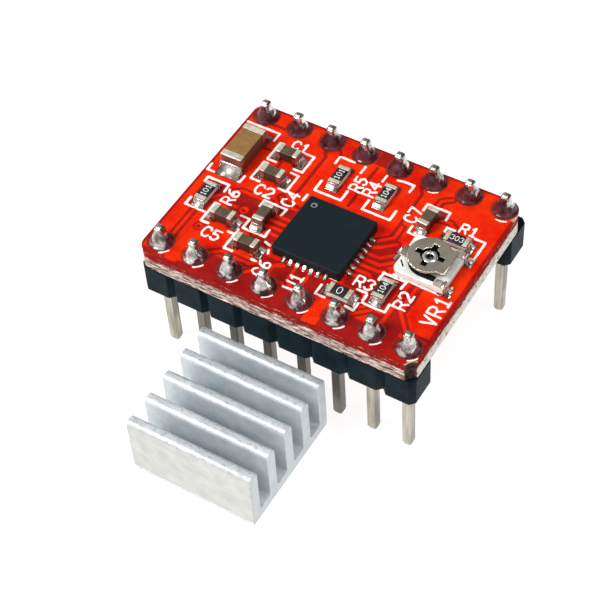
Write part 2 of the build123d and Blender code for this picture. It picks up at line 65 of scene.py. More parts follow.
def srgb(red, green, blue):
    """Linear colour of an 8-bit screen colour."""
    def linear(value):
        share = value / 255
        return share / 12.92 if share <= 0.04045 else ((share + 0.055) / 1.055) ** 2.4
    return (linear(red), linear(green), linear(blue), 1.0)


def map_range(tree, value, low, high, out_low, out_high):
    """A value carried from one range to another, and held at its ends."""
    change = tree.nodes.new("ShaderNodeMapRange")
    for socket, limit in zip(change.inputs[1:5], (low, high, out_low, out_high)):
        socket.default_value = limit
    tree.links.new(value, change.inputs["Value"])
    return change.outputs[0]


class Shade:
    """A material with one Principled shader and textures in millimetres; colours are 8-bit triples."""

    def __init__(self, name, roughness=0.5, metallic=0.0, stretch=(1, 1, 1), gloss=0.5):
        self.material = bpy.data.materials.new(name)
        self.material.use_nodes = True
        self.tree = self.material.node_tree
        self.tree.nodes.clear()
        self.shader = self.node("ShaderNodeBsdfPrincipled")
        output = self.node("ShaderNodeOutputMaterial")
        self.link(self.shader.outputs[0], output.inputs[0])
        self.shader.inputs["Roughness"].default_value = roughness
        self.shader.inputs["Metallic"].default_value = metallic
        self.shader.inputs["Specular IOR Level"].default_value = gloss
        coordinates = self.node("ShaderNodeTexCoord")
        self.place = self.scaled(coordinates.outputs["Object"], (1000, 1000, 1000))
        self.stretched = self.scaled(self.place, stretch)

    def node(self, kind):
        return self.tree.nodes.new(kind)

    def link(self, source, target):
        self.tree.links.new(source, target)

    def scaled(self, vector, scale):
        mapping = self.node("ShaderNodeMapping")
        mapping.inputs["Scale"].default_value = scale
        self.link(vector, mapping.inputs["Vector"])
        return mapping.outputs[0]

    def noise(self, scale, detail=4.0, rough=0.6, vector=None):
        texture = self.node("ShaderNodeTexNoise")
        texture.inputs["Scale"].default_value = scale
        texture.inputs["Detail"].default_value = detail
        texture.inputs["Roughness"].default_value = rough
        self.link(self.place if vector is None else vector, texture.inputs["Vector"])
        return texture.outputs["Fac"]

    def attribute(self, name):
        reader = self.node("ShaderNodeAttribute")
        reader.attribute_name = name
        return reader.outputs["Fac"]

    def part(self, vector, axis):
        split = self.node("ShaderNodeSeparateXYZ")
        self.link(vector, split.inputs[0])
        return split.outputs[axis]

    def at(self, axis):
        return self.part(self.place, axis)

    def normal(self, axis):
        coordinates = self.node("ShaderNodeTexCoord")
        return self.part(coordinates.outputs["Normal"], axis)

    def math(self, operation, first, second):
        work = self.node("ShaderNodeMath")
        work.operation = operation
        for socket, value in zip(work.inputs, (first, second)):
            if isinstance(value, (int, float)):
                socket.default_value = value
            else:
                self.link(value, socket)
        return work.outputs[0]

    def plus(self, first, second):
        return self.math("ADD", first, second)

    def minus(self, first, second):
        return self.math("SUBTRACT", first, second)

    def times(self, first, second):
        return self.math("MULTIPLY", first, second)

    def between(self, value, low, high, out_low=0.0, out_high=1.0):
        return map_range(self.tree, value, low, high, out_low, out_high)

    def blend(self, share, first, second):
        mix = self.node("ShaderNodeMix")
        mix.data_type = "RGBA"
        self.link(share, mix.inputs[0])
        for socket, value in ((mix.inputs[6], first), (mix.inputs[7], second)):
            if isinstance(value, tuple):
                socket.default_value = srgb(*value)
            else:
                self.link(value, socket)
        return mix.outputs[2]

    def fade(self, value, low, high, first, second):
        """Blend from the first colour to the second while the value goes from low to high."""
        return self.blend(self.between(value, low, high), first, second)

    def colour(self, value):
        self.link(value, self.shader.inputs["Base Color"])

    def rough(self, value, smooth, coarse, low=0.3, high=0.7):
        self.link(self.between(value, low, high, smooth, coarse), self.shader.inputs["Roughness"])

    def metal(self, value):
        self.link(value, self.shader.inputs["Metallic"])

    def grained(self, grain, smooth, coarse, depth_mm):
        """Uneven roughness and fine relief from one texture; gives the finished material."""
        self.rough(grain, smooth, coarse)
        return self.bump(grain, depth_mm)

    def bump(self, height, depth_mm):
        """Fine relief, the last step of a material; gives the finished material."""
        bump = self.node("ShaderNodeBump")
        bump.inputs["Distance"].default_value = depth_mm * MM
        self.link(height, bump.inputs["Height"])
        self.link(bump.outputs[0], self.shader.inputs["Normal"])
        return self.material


def plain_finish(
    name, dark, light, roughness, metallic=0.0,
    scale=3.0, bump_scale=12.0, bump_depth=0.01, spread=0.1, gloss=0.5,
):
    """A finish that wanders between two colours, with uneven roughness and a fine surface."""
    shade = Shade(name, roughness, metallic, gloss=gloss)
    shade.colour(shade.fade(shade.noise(scale), 0.3, 0.7, dark, light))
    rougher, smoother = roughness + spread / 2, roughness - spread / 2
    return shade.grained(shade.noise(bump_scale), smoother, rougher, bump_depth)


# ---------------- materials


def make_mask_finish():
    """Red solder mask over laminate: brighter where there is copper under it, worn at some edges."""
    shade = Shade("solder_mask", 0.3, gloss=0.1)
    cloth = shade.noise(0.6)
    copper = shade.attribute("copper")
    bright = shade.fade(cloth, 0.35, 0.65, (202, 18, 0), (232, 48, 4))
    bare = shade.fade(cloth, 0.35, 0.65, (132, 12, 12), (160, 24, 18))
    red = shade.blend(copper, bare, bright)
    laminate = shade.blend(shade.noise(5.0, 3.0, 0.55), (170, 112, 84), (226, 190, 160))
    grain = shade.times(shade.noise(5.0, 4.0, 0.7), 0.6)
    covered = shade.between(shade.plus(shade.attribute("mask"), grain), 0.72, 0.85)
    shade.colour(shade.blend(covered, laminate, red))
    fine = shade.noise(9.0)
    shade.rough(fine, 0.22, 0.36)
    weave = shade.plus(shade.noise(2.4, 2.0, 0.55), shade.times(fine, 0.35))
    return shade.bump(weave, 0.012)


def make_edge_finish():
    """Cut edge of the laminate: mask run over its upper part, torn glass layers in resin below, and a
    paler right-hand edge as painted light.
    """
    shade = Shade("laminate_edge", 0.7, 0.0, (0.7, 0.7, 7.0), 0.08)
    layers = shade.noise(1.5, 5.0, 0.75, shade.stretched)
    flecks = shade.noise(3.2, 5.0, 0.7)
    # The right-hand edge takes a paler palette: painted light.
    right = shade.between(shade.at(0), 9.60, 9.70)
    torn = shade.fade(layers, 0.44, 0.58, (78, 32, 28), (232, 210, 198))
    painted_light_right_edge = shade.fade(flecks, 0.36, 0.5, (168, 150, 140), (244, 238, 228))
    pale = shade.blend(right, torn, painted_light_right_edge)
    ragged = shade.plus(shade.at(2), shade.times(flecks, 0.8))
    covered = shade.between(ragged, 9.40, 9.50)
    streaks = shade.times(shade.between(layers, 0.58, 0.62), 0.85)
    red = shade.blend(streaks, (138, 18, 12), (228, 176, 160))
    body = shade.blend(covered, pale, red)
    bite = shade.times(shade.between(shade.at(0), 9.22, 9.28), shade.between(shade.at(1), -7.00, -7.06))
    # Darker colour on the wall of the corner bite.
    dark_bite_wall = shade.fade(flecks, 0.4, 0.6, (34, 24, 24), (84, 64, 58))
    shade.colour(shade.blend(bite, body, dark_bite_wall))
    return shade.bump(layers, 0.06)


def make_resistor_finish():
    """Chip resistor: white alumina sides and a black glass top."""
    shade = Shade("resistor_chip", 0.3)
    top = shade.between(shade.at(2), SEAT + 0.33, SEAT + 0.37)
    speckle = shade.noise(9.0, 3.0, 0.55)
    black = shade.blend(speckle, (14, 15, 18), (34, 35, 40))
    white = shade.blend(speckle, (205, 203, 196), (236, 234, 228))
    shade.colour(shade.blend(top, white, black))
    shade.rough(speckle, 0.22, 0.4)
    return shade.bump(shade.noise(14.0, 3.0, 0.55), 0.008)


def make_chip_finish():
    """Moulded epoxy of the chip: dark, matt, finely grained, with a paler rim round the dimple."""
    shade = Shade("mold_compound", 0.5, gloss=0.22)
    base = shade.blend(shade.noise(1.2, 3.0, 0.55), (3, 19, 25), (14, 31, 36))
    across = shade.minus(shade.at(0), DIMPLE[0])
    along = shade.minus(shade.at(1), DIMPLE[1])
    away = shade.plus(shade.times(across, across), shade.times(along, along))
    inner = shade.between(away, 0.010, 0.020)
    outer = shade.between(away, 0.040, 0.052, 1.0, 0.0)
    above = shade.between(shade.at(2), CHIP_TOP - 0.2, CHIP_TOP - 0.1)
    rim = shade.times(shade.times(inner, outer), above)
    shade.colour(shade.blend(rim, base, (126, 134, 134)))
    return shade.grained(shade.noise(22.0, 5.0, 0.7), 0.42, 0.58, 0.01)


def make_ceramic_finish(name, dark, light, side):
    """Ceramic block of a capacitor: fine satin grain; its sides take a darker colour as painted shade."""
    shade = Shade(name, 0.42)
    top = shade.fade(shade.noise(2.2), 0.3, 0.7, dark, light)
    upward = shade.between(shade.normal(2), 0.5, 0.85)
    # Sides take the third colour: painted shade.
    shade.colour(shade.blend(upward, side, top))
    return shade.grained(shade.noise(14.0), 0.34, 0.5, 0.012)


def make_cap_finish():
    """Tinned end caps: pale and satin on top; down the sides full metal in a darker red-brown, painted
    reflection of the red board and painted shade.
    """
    shade = Shade("termination_metal", 0.3, 0.9)
    tin = shade.fade(shade.noise(2.4), 0.3, 0.7, (186, 178, 156), (236, 231, 214))
    upward = shade.between(shade.normal(2), 0.55, 0.9)
    # Side faces take a darker red-brown: painted reflection of the red board and painted shade.
    shade.colour(shade.blend(upward, (146, 112, 102), tin))
    shade.metal(shade.between(upward, 0.0, 1.0, 1.0, 0.45))
    return shade.grained(shade.noise(5.0), 0.24, 0.4, 0.004)


def make_heatsink_finish():
    """Extruded aluminium: faint die lines along X, satin mottling, dark scuffs on the fin tips, and
    everything behind the front face lighter and bluer as painted reflection.
    """
    shade = Shade("heatsink_aluminium", 0.4, 0.4, (0.12, 5.0, 5.0))
    lines = shade.noise(2.0, 4.0, 0.65, shade.stretched)
    blotch = shade.noise(1.1, 5.0, 0.65)
    tone = shade.plus(shade.times(lines, 0.35), shade.times(blotch, 0.65))
    # Everything behind the front face takes a lighter, bluer palette: painted reflection.
    inside = shade.between(shade.at(1), -16.56, -16.48)
    outer = shade.fade(tone, 0.38, 0.62, (184, 185, 181), (210, 210, 205))
    inner = shade.fade(tone, 0.38, 0.62, (193, 202, 207), (220, 224, 226))
    light = shade.blend(inside, outer, inner)
    drawn = shade.scaled(shade.place, (0.8, 2.0, 2.0))
    scuffs = shade.between(shade.noise(3.4, 4.0, 0.8, drawn), 0.52, 0.62)
    tips = shade.between(shade.at(2), 4.70, 4.94)
    dark = shade.times(shade.times(scuffs, tips), 0.55)
    shade.colour(shade.blend(dark, light, (92, 96, 98)))
    shade.rough(tone, 0.34, 0.5, 0.35, 0.65)
    pits = shade.noise(7.0, 4.0, 0.7)
    relief = shade.plus(shade.times(lines, 0.5), shade.times(pits, 0.6))
    return shade.bump(relief, 0.012)


def make_joint_finish():
    """Solder of the pin joints: bright at the tip, dark purple-red at the foot and up one side, partly
    flux stain and partly painted reflection of the red board and painted shade.
    """
    shade = Shade("joint_solder", 0.2, 1.0)
    patches = shade.noise(1.6)
    silver = shade.fade(patches, 0.36, 0.64, (120, 108, 104), (236, 234, 230))
    # Dark purple-red: partly flux stain, partly painted reflection of the red board and painted shade.
    flux_and_painted_reflection = shade.fade(patches, 0.35, 0.65, (52, 14, 22), (112, 56, 62))
    depth = shade.at(1)
    reach = shade.between(depth, -6.0, 5.6, 0.14, 0.74)
    above = shade.minus(shade.at(2), shade.plus(reach, PAD_TOP))
    # The dark colour climbs higher on one side of each joint: painted shade.
    facing = shade.plus(shade.times(shade.normal(0), 0.8), shade.times(shade.normal(1), 0.6))
    turn = shade.times(facing, shade.between(depth, -0.1, 0.1, -0.62, 0.46))
    uneven = shade.times(shade.minus(patches, 0.54), 1.7)
    total = shade.plus(shade.plus(above, turn), uneven)
    bare = shade.between(total, -0.10, 0.06)
    shade.colour(shade.blend(bare, flux_and_painted_reflection, silver))
    shade.metal(shade.between(bare, 0.0, 1.0, 0.35, 1.0))
    return shade.grained(shade.noise(3.5, 3.0, 0.6), 0.12, 0.30, 0.02)


def make_pin_finish():
    """Drawn, tinned pins: warm grey and streaked, with painted shade on the faces towards +X and on the
    lower part of the middle pins of the front row.
    """
    shade = Shade("pin_metal", 0.26, 1.0, (1.6, 1.6, 0.16))
    streaks = shade.noise(1.4, vector=shade.stretched)
    unshaded_metal = shade.fade(streaks, 0.35, 0.65, (150, 146, 130), (206, 200, 184))
    # Darker tone on the faces towards +X: painted shade.
    side = shade.between(shade.normal(0), 0.3, 0.9, 0.0, 0.62)
    share = shade.times(side, shade.between(shade.noise(0.35, 2.0, 0.55), 0.40, 0.55, 0.35, 1.0))
    across = shade.at(0)
    # Darker lower part of the middle pins of the front row: painted shade.
    middle = shade.times(shade.between(across, -7.7, -7.5), shade.between(across, 4.9, 5.1, 1.0, 0.0))
    front = shade.between(shade.at(1), -5.0, -5.2, 0.0, 0.8)
    below = shade.between(shade.at(2), 6.4, 7.2, 1.0, 0.0)
    painted_shade_middle = shade.times(shade.times(middle, front), below)
    # The darker colour blended in here is painted shade, not wear.
    worn = shade.blend(painted_shade_middle, unshaded_metal, (92, 90, 84))
    shade.colour(shade.blend(share, worn, (60, 58, 54)))
    return shade.grained(shade.noise(3.0, vector=shade.stretched), 0.2, 0.34, 0.008)


def make_rotor_finish():
    """Pressed rotor: warm satin plate, painted shade down in the cup under the cross opening."""
    shade = Shade("rotor_metal", 0.24, 1.0)
    plate = shade.fade(shade.noise(0.9), 0.3, 0.7, (196, 188, 166), (226, 218, 198))
    # Dark colour below the plate in the cup: painted shade.
    painted_shade_cup = shade.between(shade.at(2), 10.66, 10.74)
    shade.colour(shade.blend(painted_shade_cup, (30, 28, 24), plate))
    return shade.grained(shade.noise(6.0), 0.18, 0.3, 0.002)


finish = {
    "rotor": make_rotor_finish(),
    "joint": make_joint_finish(),
    "mask": make_mask_finish(),
    "edge": make_edge_finish(),
    "print": plain_finish(
        "board_print", (236, 218, 212), (255, 246, 242), 0.6,
        scale=2.5, bump_scale=20.0, bump_depth=0.006,
    ),
    "copper": plain_finish("tinned_copper", (112, 44, 46), (168, 104, 98), 0.3, 0.8, scale=1.6),
    "header": plain_finish(
        "header_plastic", (4, 18, 25), (16, 35, 43), 0.42,
        scale=0.9, bump_scale=6.0, bump_depth=0.012, spread=0.16, gloss=0.05,
    ),
    "pin": make_pin_finish(),
    "chrome": plain_finish(
        "eyelet_metal", (226, 224, 216), (244, 242, 236), 0.12, 1.0,
        bump_depth=0.002, spread=0.06,
    ),
    "solder": plain_finish(
        "solder", (188, 178, 166), (242, 238, 232), 0.26, 1.0,
        scale=1.2, bump_scale=1.4, bump_depth=0.012, spread=0.12,
    ),
    "chip": make_chip_finish(),
    "lead": plain_finish("lead_metal", (178, 176, 170), (222, 220, 214), 0.3, 1.0),
    "silicon": plain_finish("silicon", (70, 74, 84), (92, 96, 108), 0.2, 0.6),
    # The third colour of each ceramic finish is painted shade on the block's sides.
    "tan": make_ceramic_finish("capacitor_ceramic_tan", (122, 88, 44), (148, 112, 62), (96, 54, 34)),
    "grey": make_ceramic_finish("capacitor_ceramic_grey", (66, 52, 38), (94, 80, 60), (50, 32, 24)),
    "end": make_cap_finish(),
    "clip": plain_finish(
        "clip_metal", (196, 192, 174), (242, 238, 224), 0.2, 0.75,
        scale=1.6, bump_scale=2.4, bump_depth=0.03, spread=0.12,
    ),
    "resistor": make_resistor_finish(),
    "digits": plain_finish("resistor_print", (214, 214, 210), (246, 246, 242), 0.5, bump_scale=25.0),
    "alumina": plain_finish("alumina", (214, 214, 208), (240, 240, 236), 0.45, scale=2.0),
    # This black finish is also painted shade at the bottom of the eyelet's bore.
    "ink_and_painted_shade": plain_finish("resistive_ink", (18, 18, 21), (36, 36, 40), 0.28, scale=4.0),
    "nickel": plain_finish(
        "nickel", (188, 180, 160), (212, 206, 188), 0.24, 1.0,
        scale=0.9, bump_scale=5.0, bump_depth=0.002, spread=0.1,
    ),
    "heatsink": make_heatsink_finish(),
    "tape": plain_finish(
        "adhesive_tape", (196, 202, 206), (226, 230, 232), 0.7,
        scale=3.0, bump_scale=10.0, bump_depth=0.03,
    ),
    "floor": plain_finish(
        "floor", (124, 124, 124), (130, 130, 130), 0.9,
        scale=0.01, bump_scale=0.05, bump_depth=0.001,
    ),
}


# ---------------- mesh helpers


def new_object(name, data):
    """An object in the scene."""
    made = bpy.data.objects.new(name, data)
    bpy.context.scene.collection.objects.link(made)
    return made


def add_piece(mesh, materials, body="module", replaced=()):
    """Put a mesh in the scene as a piece of the object, under the mesh's name."""
    piece = new_object(mesh.name, mesh)
    for key in materials:
        mesh.materials.append(finish[key])
    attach(piece, body)
    if replaced:
        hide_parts(*replaced)
    return piece


def new_mesh(name, points_mm, faces):
    """A mesh from points in millimetres and faces, smooth-shaded."""
    mesh = bpy.data.meshes.new(name)
    mesh.from_pydata([tuple(v * MM for v in p) for p in points_mm], [], faces)
    mesh.validate()
    for face in mesh.polygons:
        face.use_smooth = True
    mesh.update()
    return mesh


def settle_normals(piece):
    """Keep flat faces flat beside their rounded edges."""
    weighted = piece.modifiers.new("weighted_normals", "WEIGHTED_NORMAL")
    weighted.keep_sharp = True
    weighted.weight = 80


def drop_slivers(shape):
    """Merge points that lie together and take out faces with no width."""
    bmesh.ops.remove_doubles(shape, verts=shape.verts, dist=0.0008 * MM)
    bmesh.ops.dissolve_degenerate(shape, dist=0.0008 * MM, edges=shape.edges)


def rounded_copy(
    node, name, key, radius, segments=3,
    body="module", lumps=0.0, lump_scale=3.0, cuts=0,
):
    """Copy a CAD node with its sharp edges rounded, and optionally an uneven cast surface."""
    shape = bmesh.new()
    shape.from_mesh(nodes[node].data)
    bmesh.ops.remove_doubles(shape, verts=shape.verts, dist=0.0001 * MM)
    bmesh.ops.dissolve_limit(shape, angle_limit=math.radians(2), verts=shape.verts, edges=shape.edges)
    paired = [e for e in shape.edges if len(e.link_faces) == 2]
    corners = [e for e in paired if e.calc_face_angle(0) > math.radians(32)]
    bmesh.ops.bevel(
        shape,
        geom=corners,
        offset=radius * MM,
        offset_type="OFFSET",
        segments=segments,
        profile=0.5,
        affect="EDGES",
        clamp_overlap=True,
    )
    drop_slivers(shape)
    if cuts:
        long_edges = [e for e in shape.edges if e.calc_length() > 0.18 * MM]
        bmesh.ops.subdivide_edges(shape, edges=long_edges, cuts=cuts, use_grid_fill=True)
        drop_slivers(shape)
    if lumps:
        shape.normal_update()
        for vertex in shape.verts:
            height = noise.noise(vertex.co * 1000 * lump_scale) - 0.45
            vertex.co += vertex.normal * height * lumps * MM
    mesh = bpy.data.meshes.new(name)
    shape.to_mesh(mesh)
    shape.free()
    for face in mesh.polygons:
        face.use_smooth = True
    settle_normals(add_piece(mesh, [key], body, [node]))


def keep_node(node, key):
    """Show a CAD node as it is, with a better finish."""
    piece = nodes[node]
    piece.data.materials.clear()
    piece.data.materials.append(finish[key])


# ---------------- distance fields


def line_distance(x, y, start, end):
    """Distance to a straight line between two points."""
    ax, ay = start
    dx, dy = end[0] - ax, end[1] - ay
    span = max(dx * dx + dy * dy, 1e-12)
    share = np.clip(((x - ax) * dx + (y - ay) * dy) / span, 0, 1)
    return np.hypot(x - ax - share * dx, y - ay - share * dy)


def stroke_distance(x, y, strokes):
    """Distance to the nearest of several polylines."""
    nearest = np.full(x.shape, 99.0)
    for stroke in strokes:
        for start, end in zip(stroke, stroke[1:]):
            nearest = np.minimum(nearest, line_distance(x, y, start, end))
    return nearest


def box_distance(x, y, left, right, front, back):
    """Signed distance to an upright rectangle, negative inside."""
    across = np.maximum(left - x, x - right)
    along = np.maximum(front - y, y - back)
    outside = np.hypot(np.maximum(across, 0), np.maximum(along, 0))
    return outside + np.minimum(np.maximum(across, along), 0)


def smooth_step(value, width):
    """0 below -width, 1 above width, smooth between."""
    share = np.clip(value / (2 * width) + 0.5, 0, 1)
    return share * share * (3 - 2 * share)


# ---------------- board copper under the mask

BARE_AREAS = [
    (-0.35, 0.55, 5.9, 7.27), (-6.6, -5.0, -2.05, -0.35), (-5.0, -2.2, -3.1, -0.3),
    (-4.0, -2.7, -3.6, 0.4), (2.9, 4.6, -3.9, 0.3), (-2.7, 1.9, -5.55, -4.2),
    (-5.6, 2.1, -7.7, -5.75), (3.1, 7.9, -7.7, -4.9), (7.9, 9.9, -7.7, -5.9),
    (6.3, 7.35, -5.8, -2.0), (4.75, 6.2, -4.6, -2.0), (1.9, 4.5, -5.4, -4.0),
    (-9.3, -7.85, -2.9, -0.3), (-10.1, -9.80, -7.7, 7.4), (9.64, 9.9, -7.7, 7.4),
    (-10.1, 9.9, 7.10, 7.4), (-10.1, -5.4, -7.7, -7.18),
]

BRIGHT_AREAS = [
    (-8.0, -7.1, -7.4, -5.8), (2.15, 3.05, -7.4, -5.8), (4.75, 5.6, -5.9, -4.7),
]

GAPS = [
    [(-3.7, 5.24), (-3.49, 5.0), (-3.49, 1.2)], [(-2.99, 5.96), (-2.63, 5.53)],
    [(-7.5, 3.75), (-6.9, 3.75)], [(-5.8, 3.2), (-5.8, 2.6)], [(-0.02, 5.7), (-0.02, 1.9)],
    [(3.3, 5.6), (3.66, 5.0), (3.66, 0.95), (2.95, 0.2)], [(-4.15, 6.9), (-3.7, 6.4), (-3.7, 5.24)],
    [(7.42, -2.0), (7.42, -4.4), (8.25, -5.35), (9.7, -5.35)], [(1.0, 7.0), (1.6, 6.4), (1.6, 5.7)],
    [(-9.3, 5.9), (-7.0, 5.9)],
]

TRACES = [
    [(-8.58, -3.0), (-8.58, -5.7)],
    [(-4.6, -0.22), (-6.7, -0.22), (-7.2, -0.6), (-7.75, -1.2), (-8.2, -1.7)],
    [(-6.7, -1.6), (-5.69, -1.59)],
    [(-6.3, -6.2), (-5.8, -5.75), (-5.05, -5.2), (-4.5, -5.3), (-3.0, -5.3), (-2.6, -4.95)],
    [(-3.6, -6.4), (-2.98, -6.1), (-2.6, -5.7), (-1.9, -5.0), (-1.26, -4.4)],
    [(-1.27, -6.0), (-1.6, -5.4), (-1.6, -4.75), (-1.0, -4.4)],
    [(0.4, -5.9), (-0.26, -5.2), (-0.26, -4.3)], [(1.27, -6.1), (0.74, -5.4), (0.74, -4.3)],
    [(2.9, -0.5), (3.5, -0.2), (4.3, 0.5)], [(2.9, 0.03), (3.9, 0.9), (3.9, 1.9)],
    [(3.0, -1.0), (3.9, -1.0), (4.8, -0.2)], [(3.0, -1.5), (4.2, -1.5), (5.1, -0.7)],
    [(3.0, -2.0), (4.4, -2.0), (4.7, -1.8)], [(3.0, -2.5), (4.0, -2.5), (4.55, -3.0), (4.55, -4.6)],
    [(3.0, -2.97), (3.7, -2.97)], [(6.55, -2.0), (6.55, -5.5), (6.35, -6.0)],
    [(7.1, -2.0), (7.1, -4.1), (8.0, -5.2), (8.6, -5.8)], [(5.5, -4.9), (4.6, -5.7), (4.0, -6.1)],
    [(5.65, 3.6), (6.4, 3.7), (6.95, 3.3)], [(5.0, 4.6), (5.05, 5.1), (5.6, 5.5)],
    [(-2.6, -1.5), (-4.1, -1.5)], [(-2.6, -1.0), (-4.1, -1.0)],
    [(-2.6, -2.0), (-3.6, -2.0), (-4.1, -2.4)], [(-2.6, -2.5), (-3.4, -2.5), (-4.0, -3.1)],
    [(-2.6, 0.0), (-3.6, 0.0), (-4.2, 0.55)],
]

VIAS = [
    ((-5.69, -1.59), 0.31, 0.13), ((-7.5, -4.1), 0.28, 0.14), ((5.79, -1.82), 0.26, 0.12),
    ((4.55, -4.6), 0.26, 0.12),
]

CAPACITOR_PLACES = [
    ((-5.50, 3.65), 0), ((-5.50, 1.65), 0), ((-4.15, -1.70), 90), ((-6.35, -2.95), 0),
    ((-3.80, -4.25), 0), ((5.20, 2.95), 86),
]

RESISTOR_PLACES = [
    ((7.55, 2.35), 0), ((5.45, -3.35), 90), ((3.25, -4.80), 0), ((1.75, 3.65), 90),
    ((-1.70, 3.65), 90), ((-8.55, -1.65), 90),
]
RESISTOR_VALUES = ["303", "104", "0", "104", "101", "101"]
RESISTOR_TOP = SEAT + 0.45

TRACE_HALF = 0.12
TRACE_CLEARANCE = 0.18
GAP_HALF = 0.12


def turned(x, y, centre, turn):
    """Coordinates in a part's own frame."""
    angle = math.radians(turn)
    dx, dy = x - centre[0], y - centre[1]
    return dx * math.cos(angle) + dy * math.sin(angle), dy * math.cos(angle) - dx * math.sin(angle)


def pin_distance(x, y):
    """Distance to the axis of the nearest pin."""
    across = np.min([np.abs(x - pin) for pin in PIN_X], axis=0)
    return np.hypot(across, np.abs(y) - ROW_Y)


def pad_distance(x, y):
    """Signed distance to the nearest solder pad."""
    nearest = pin_distance(x, y) - PAD_RADIUS
    for centre, turn in CAPACITOR_PLACES + RESISTOR_PLACES:
        u, v = turned(x, y, centre, turn)
        nearest = np.minimum(nearest, box_distance(np.abs(u), v, 0.45, 1.20, -0.45, 0.45))
    u, v = turned(x, y, (-8.30, 2.60), 90)
    nearest = np.minimum(nearest, box_distance(np.abs(u), v, 1.10, 2.35, -0.85, 0.85))
    for quarter in range(4):
        u, v = turned(x, y, CHIP, 90 * quarter)
        for lead in range(7):
            middle = (lead - 3) * 0.5
            nearest = np.minimum(nearest, box_distance(u, v, 2.05, 2.80, middle - 0.14, middle + 0.14))
    u, v = turned(x, y, TRIMMER, 0)
    nearest = np.minimum(nearest, box_distance(u, np.abs(v), 1.40, 2.25, 1.03, 1.73))
    return np.minimum(nearest, box_distance(u, v, -2.35, -1.40, -0.55, 0.55))


def copper_share(x, y):
    """1 where there is copper under the mask, 0 where there is none."""
    bare = np.full(np.shape(x), 99.0)
    for left, right, front, back in BARE_AREAS:
        bare = np.minimum(bare, box_distance(x, y, left, right, front, back))
    for left, right, front, back in BRIGHT_AREAS:
        bare = np.maximum(bare, -box_distance(x, y, left, right, front, back))
    gap = stroke_distance(x, y, GAPS) - GAP_HALF
    trace = stroke_distance(x, y, TRACES) - TRACE_HALF
    copper = np.minimum(np.minimum(bare, gap), trace - TRACE_CLEARANCE)
    copper = np.maximum(copper, -trace)
    for (via_x, via_y), ring, _ in VIAS:
        away = np.hypot(x - via_x, y - via_y) - ring
        copper = np.maximum(np.minimum(copper, away - 0.12), -away)
    return smooth_step(copper, 0.035)


def board_relief(x, y):
    """Height of the board's top, and the share of copper there."""
    copper = copper_share(x, y)
    opening = smooth_step(0.03 - pad_distance(x, y), 0.03)
    height = 0.012 + 0.030 * copper
    height = height * (1 - opening) + 0.002 * opening
    copper = copper * (1 - opening)
    for (via_x, via_y), _, hole in VIAS:
        away = np.hypot(x - via_x, y - via_y)
        height -= 0.14 * smooth_step(hole - away, 0.05)
        copper = copper * (1 - smooth_step(hole - away, 0.05))
    return BOARD_TOP + height, copper


def wandering(x, y, scale, seed):
    """Smooth noise from 0 to 1 over a set of points."""
    total = np.zeros(np.shape(x))
    generator = np.random.default_rng(seed)
    for octave in range(5):
        for _ in range(3):
            angle, phase = generator.uniform(0, 6.283), generator.uniform(0, 6.283)
            pace = generator.uniform(0.7, 1.4)
            wave = scale * pace * 2 ** octave * (x * math.cos(angle) + y * math.sin(angle))
            total += np.sin(wave + phase) / 1.5 ** octave
    return 0.5 + total / 12


# ---------------- board outline and body

LEFT, RIGHT, FRONT, BACK = -10.0, 9.87, -7.6, 7.27
FRONT_LEFT_ROUND, BACK_LEFT_ROUND, BACK_RIGHT_ROUND = 0.9, 0.8, 1.3
BITE = (10.0, -7.72)
BITE_RADIUS = 0.66


def inset(to_edge, radius):
    """How far a rounded corner draws a row in, by the row's distance from the board's edge."""
    if to_edge >= radius:
        return 0.0
    return radius - math.sqrt(max(radius ** 2 - (radius - to_edge) ** 2, 0))


def row_ends(y):
    """Left and right end of the board at one y."""
    left = LEFT + inset(y - FRONT, FRONT_LEFT_ROUND) + inset(BACK - y, BACK_LEFT_ROUND)
    right = RIGHT - inset(BACK - y, BACK_RIGHT_ROUND)
    if abs(y - BITE[1]) < BITE_RADIUS:
        right = min(right, BITE[0] - math.sqrt(BITE_RADIUS ** 2 - (y - BITE[1]) ** 2))
    return left, right


def set_shares(mesh, copper, mask):
    """Tell the mask's finish where there is copper under it and where it covers the board."""
    for name, values in (("copper", copper), ("mask", mask)):
        mesh.attributes.new(name, "FLOAT", "POINT").data.foreach_set("value", values)


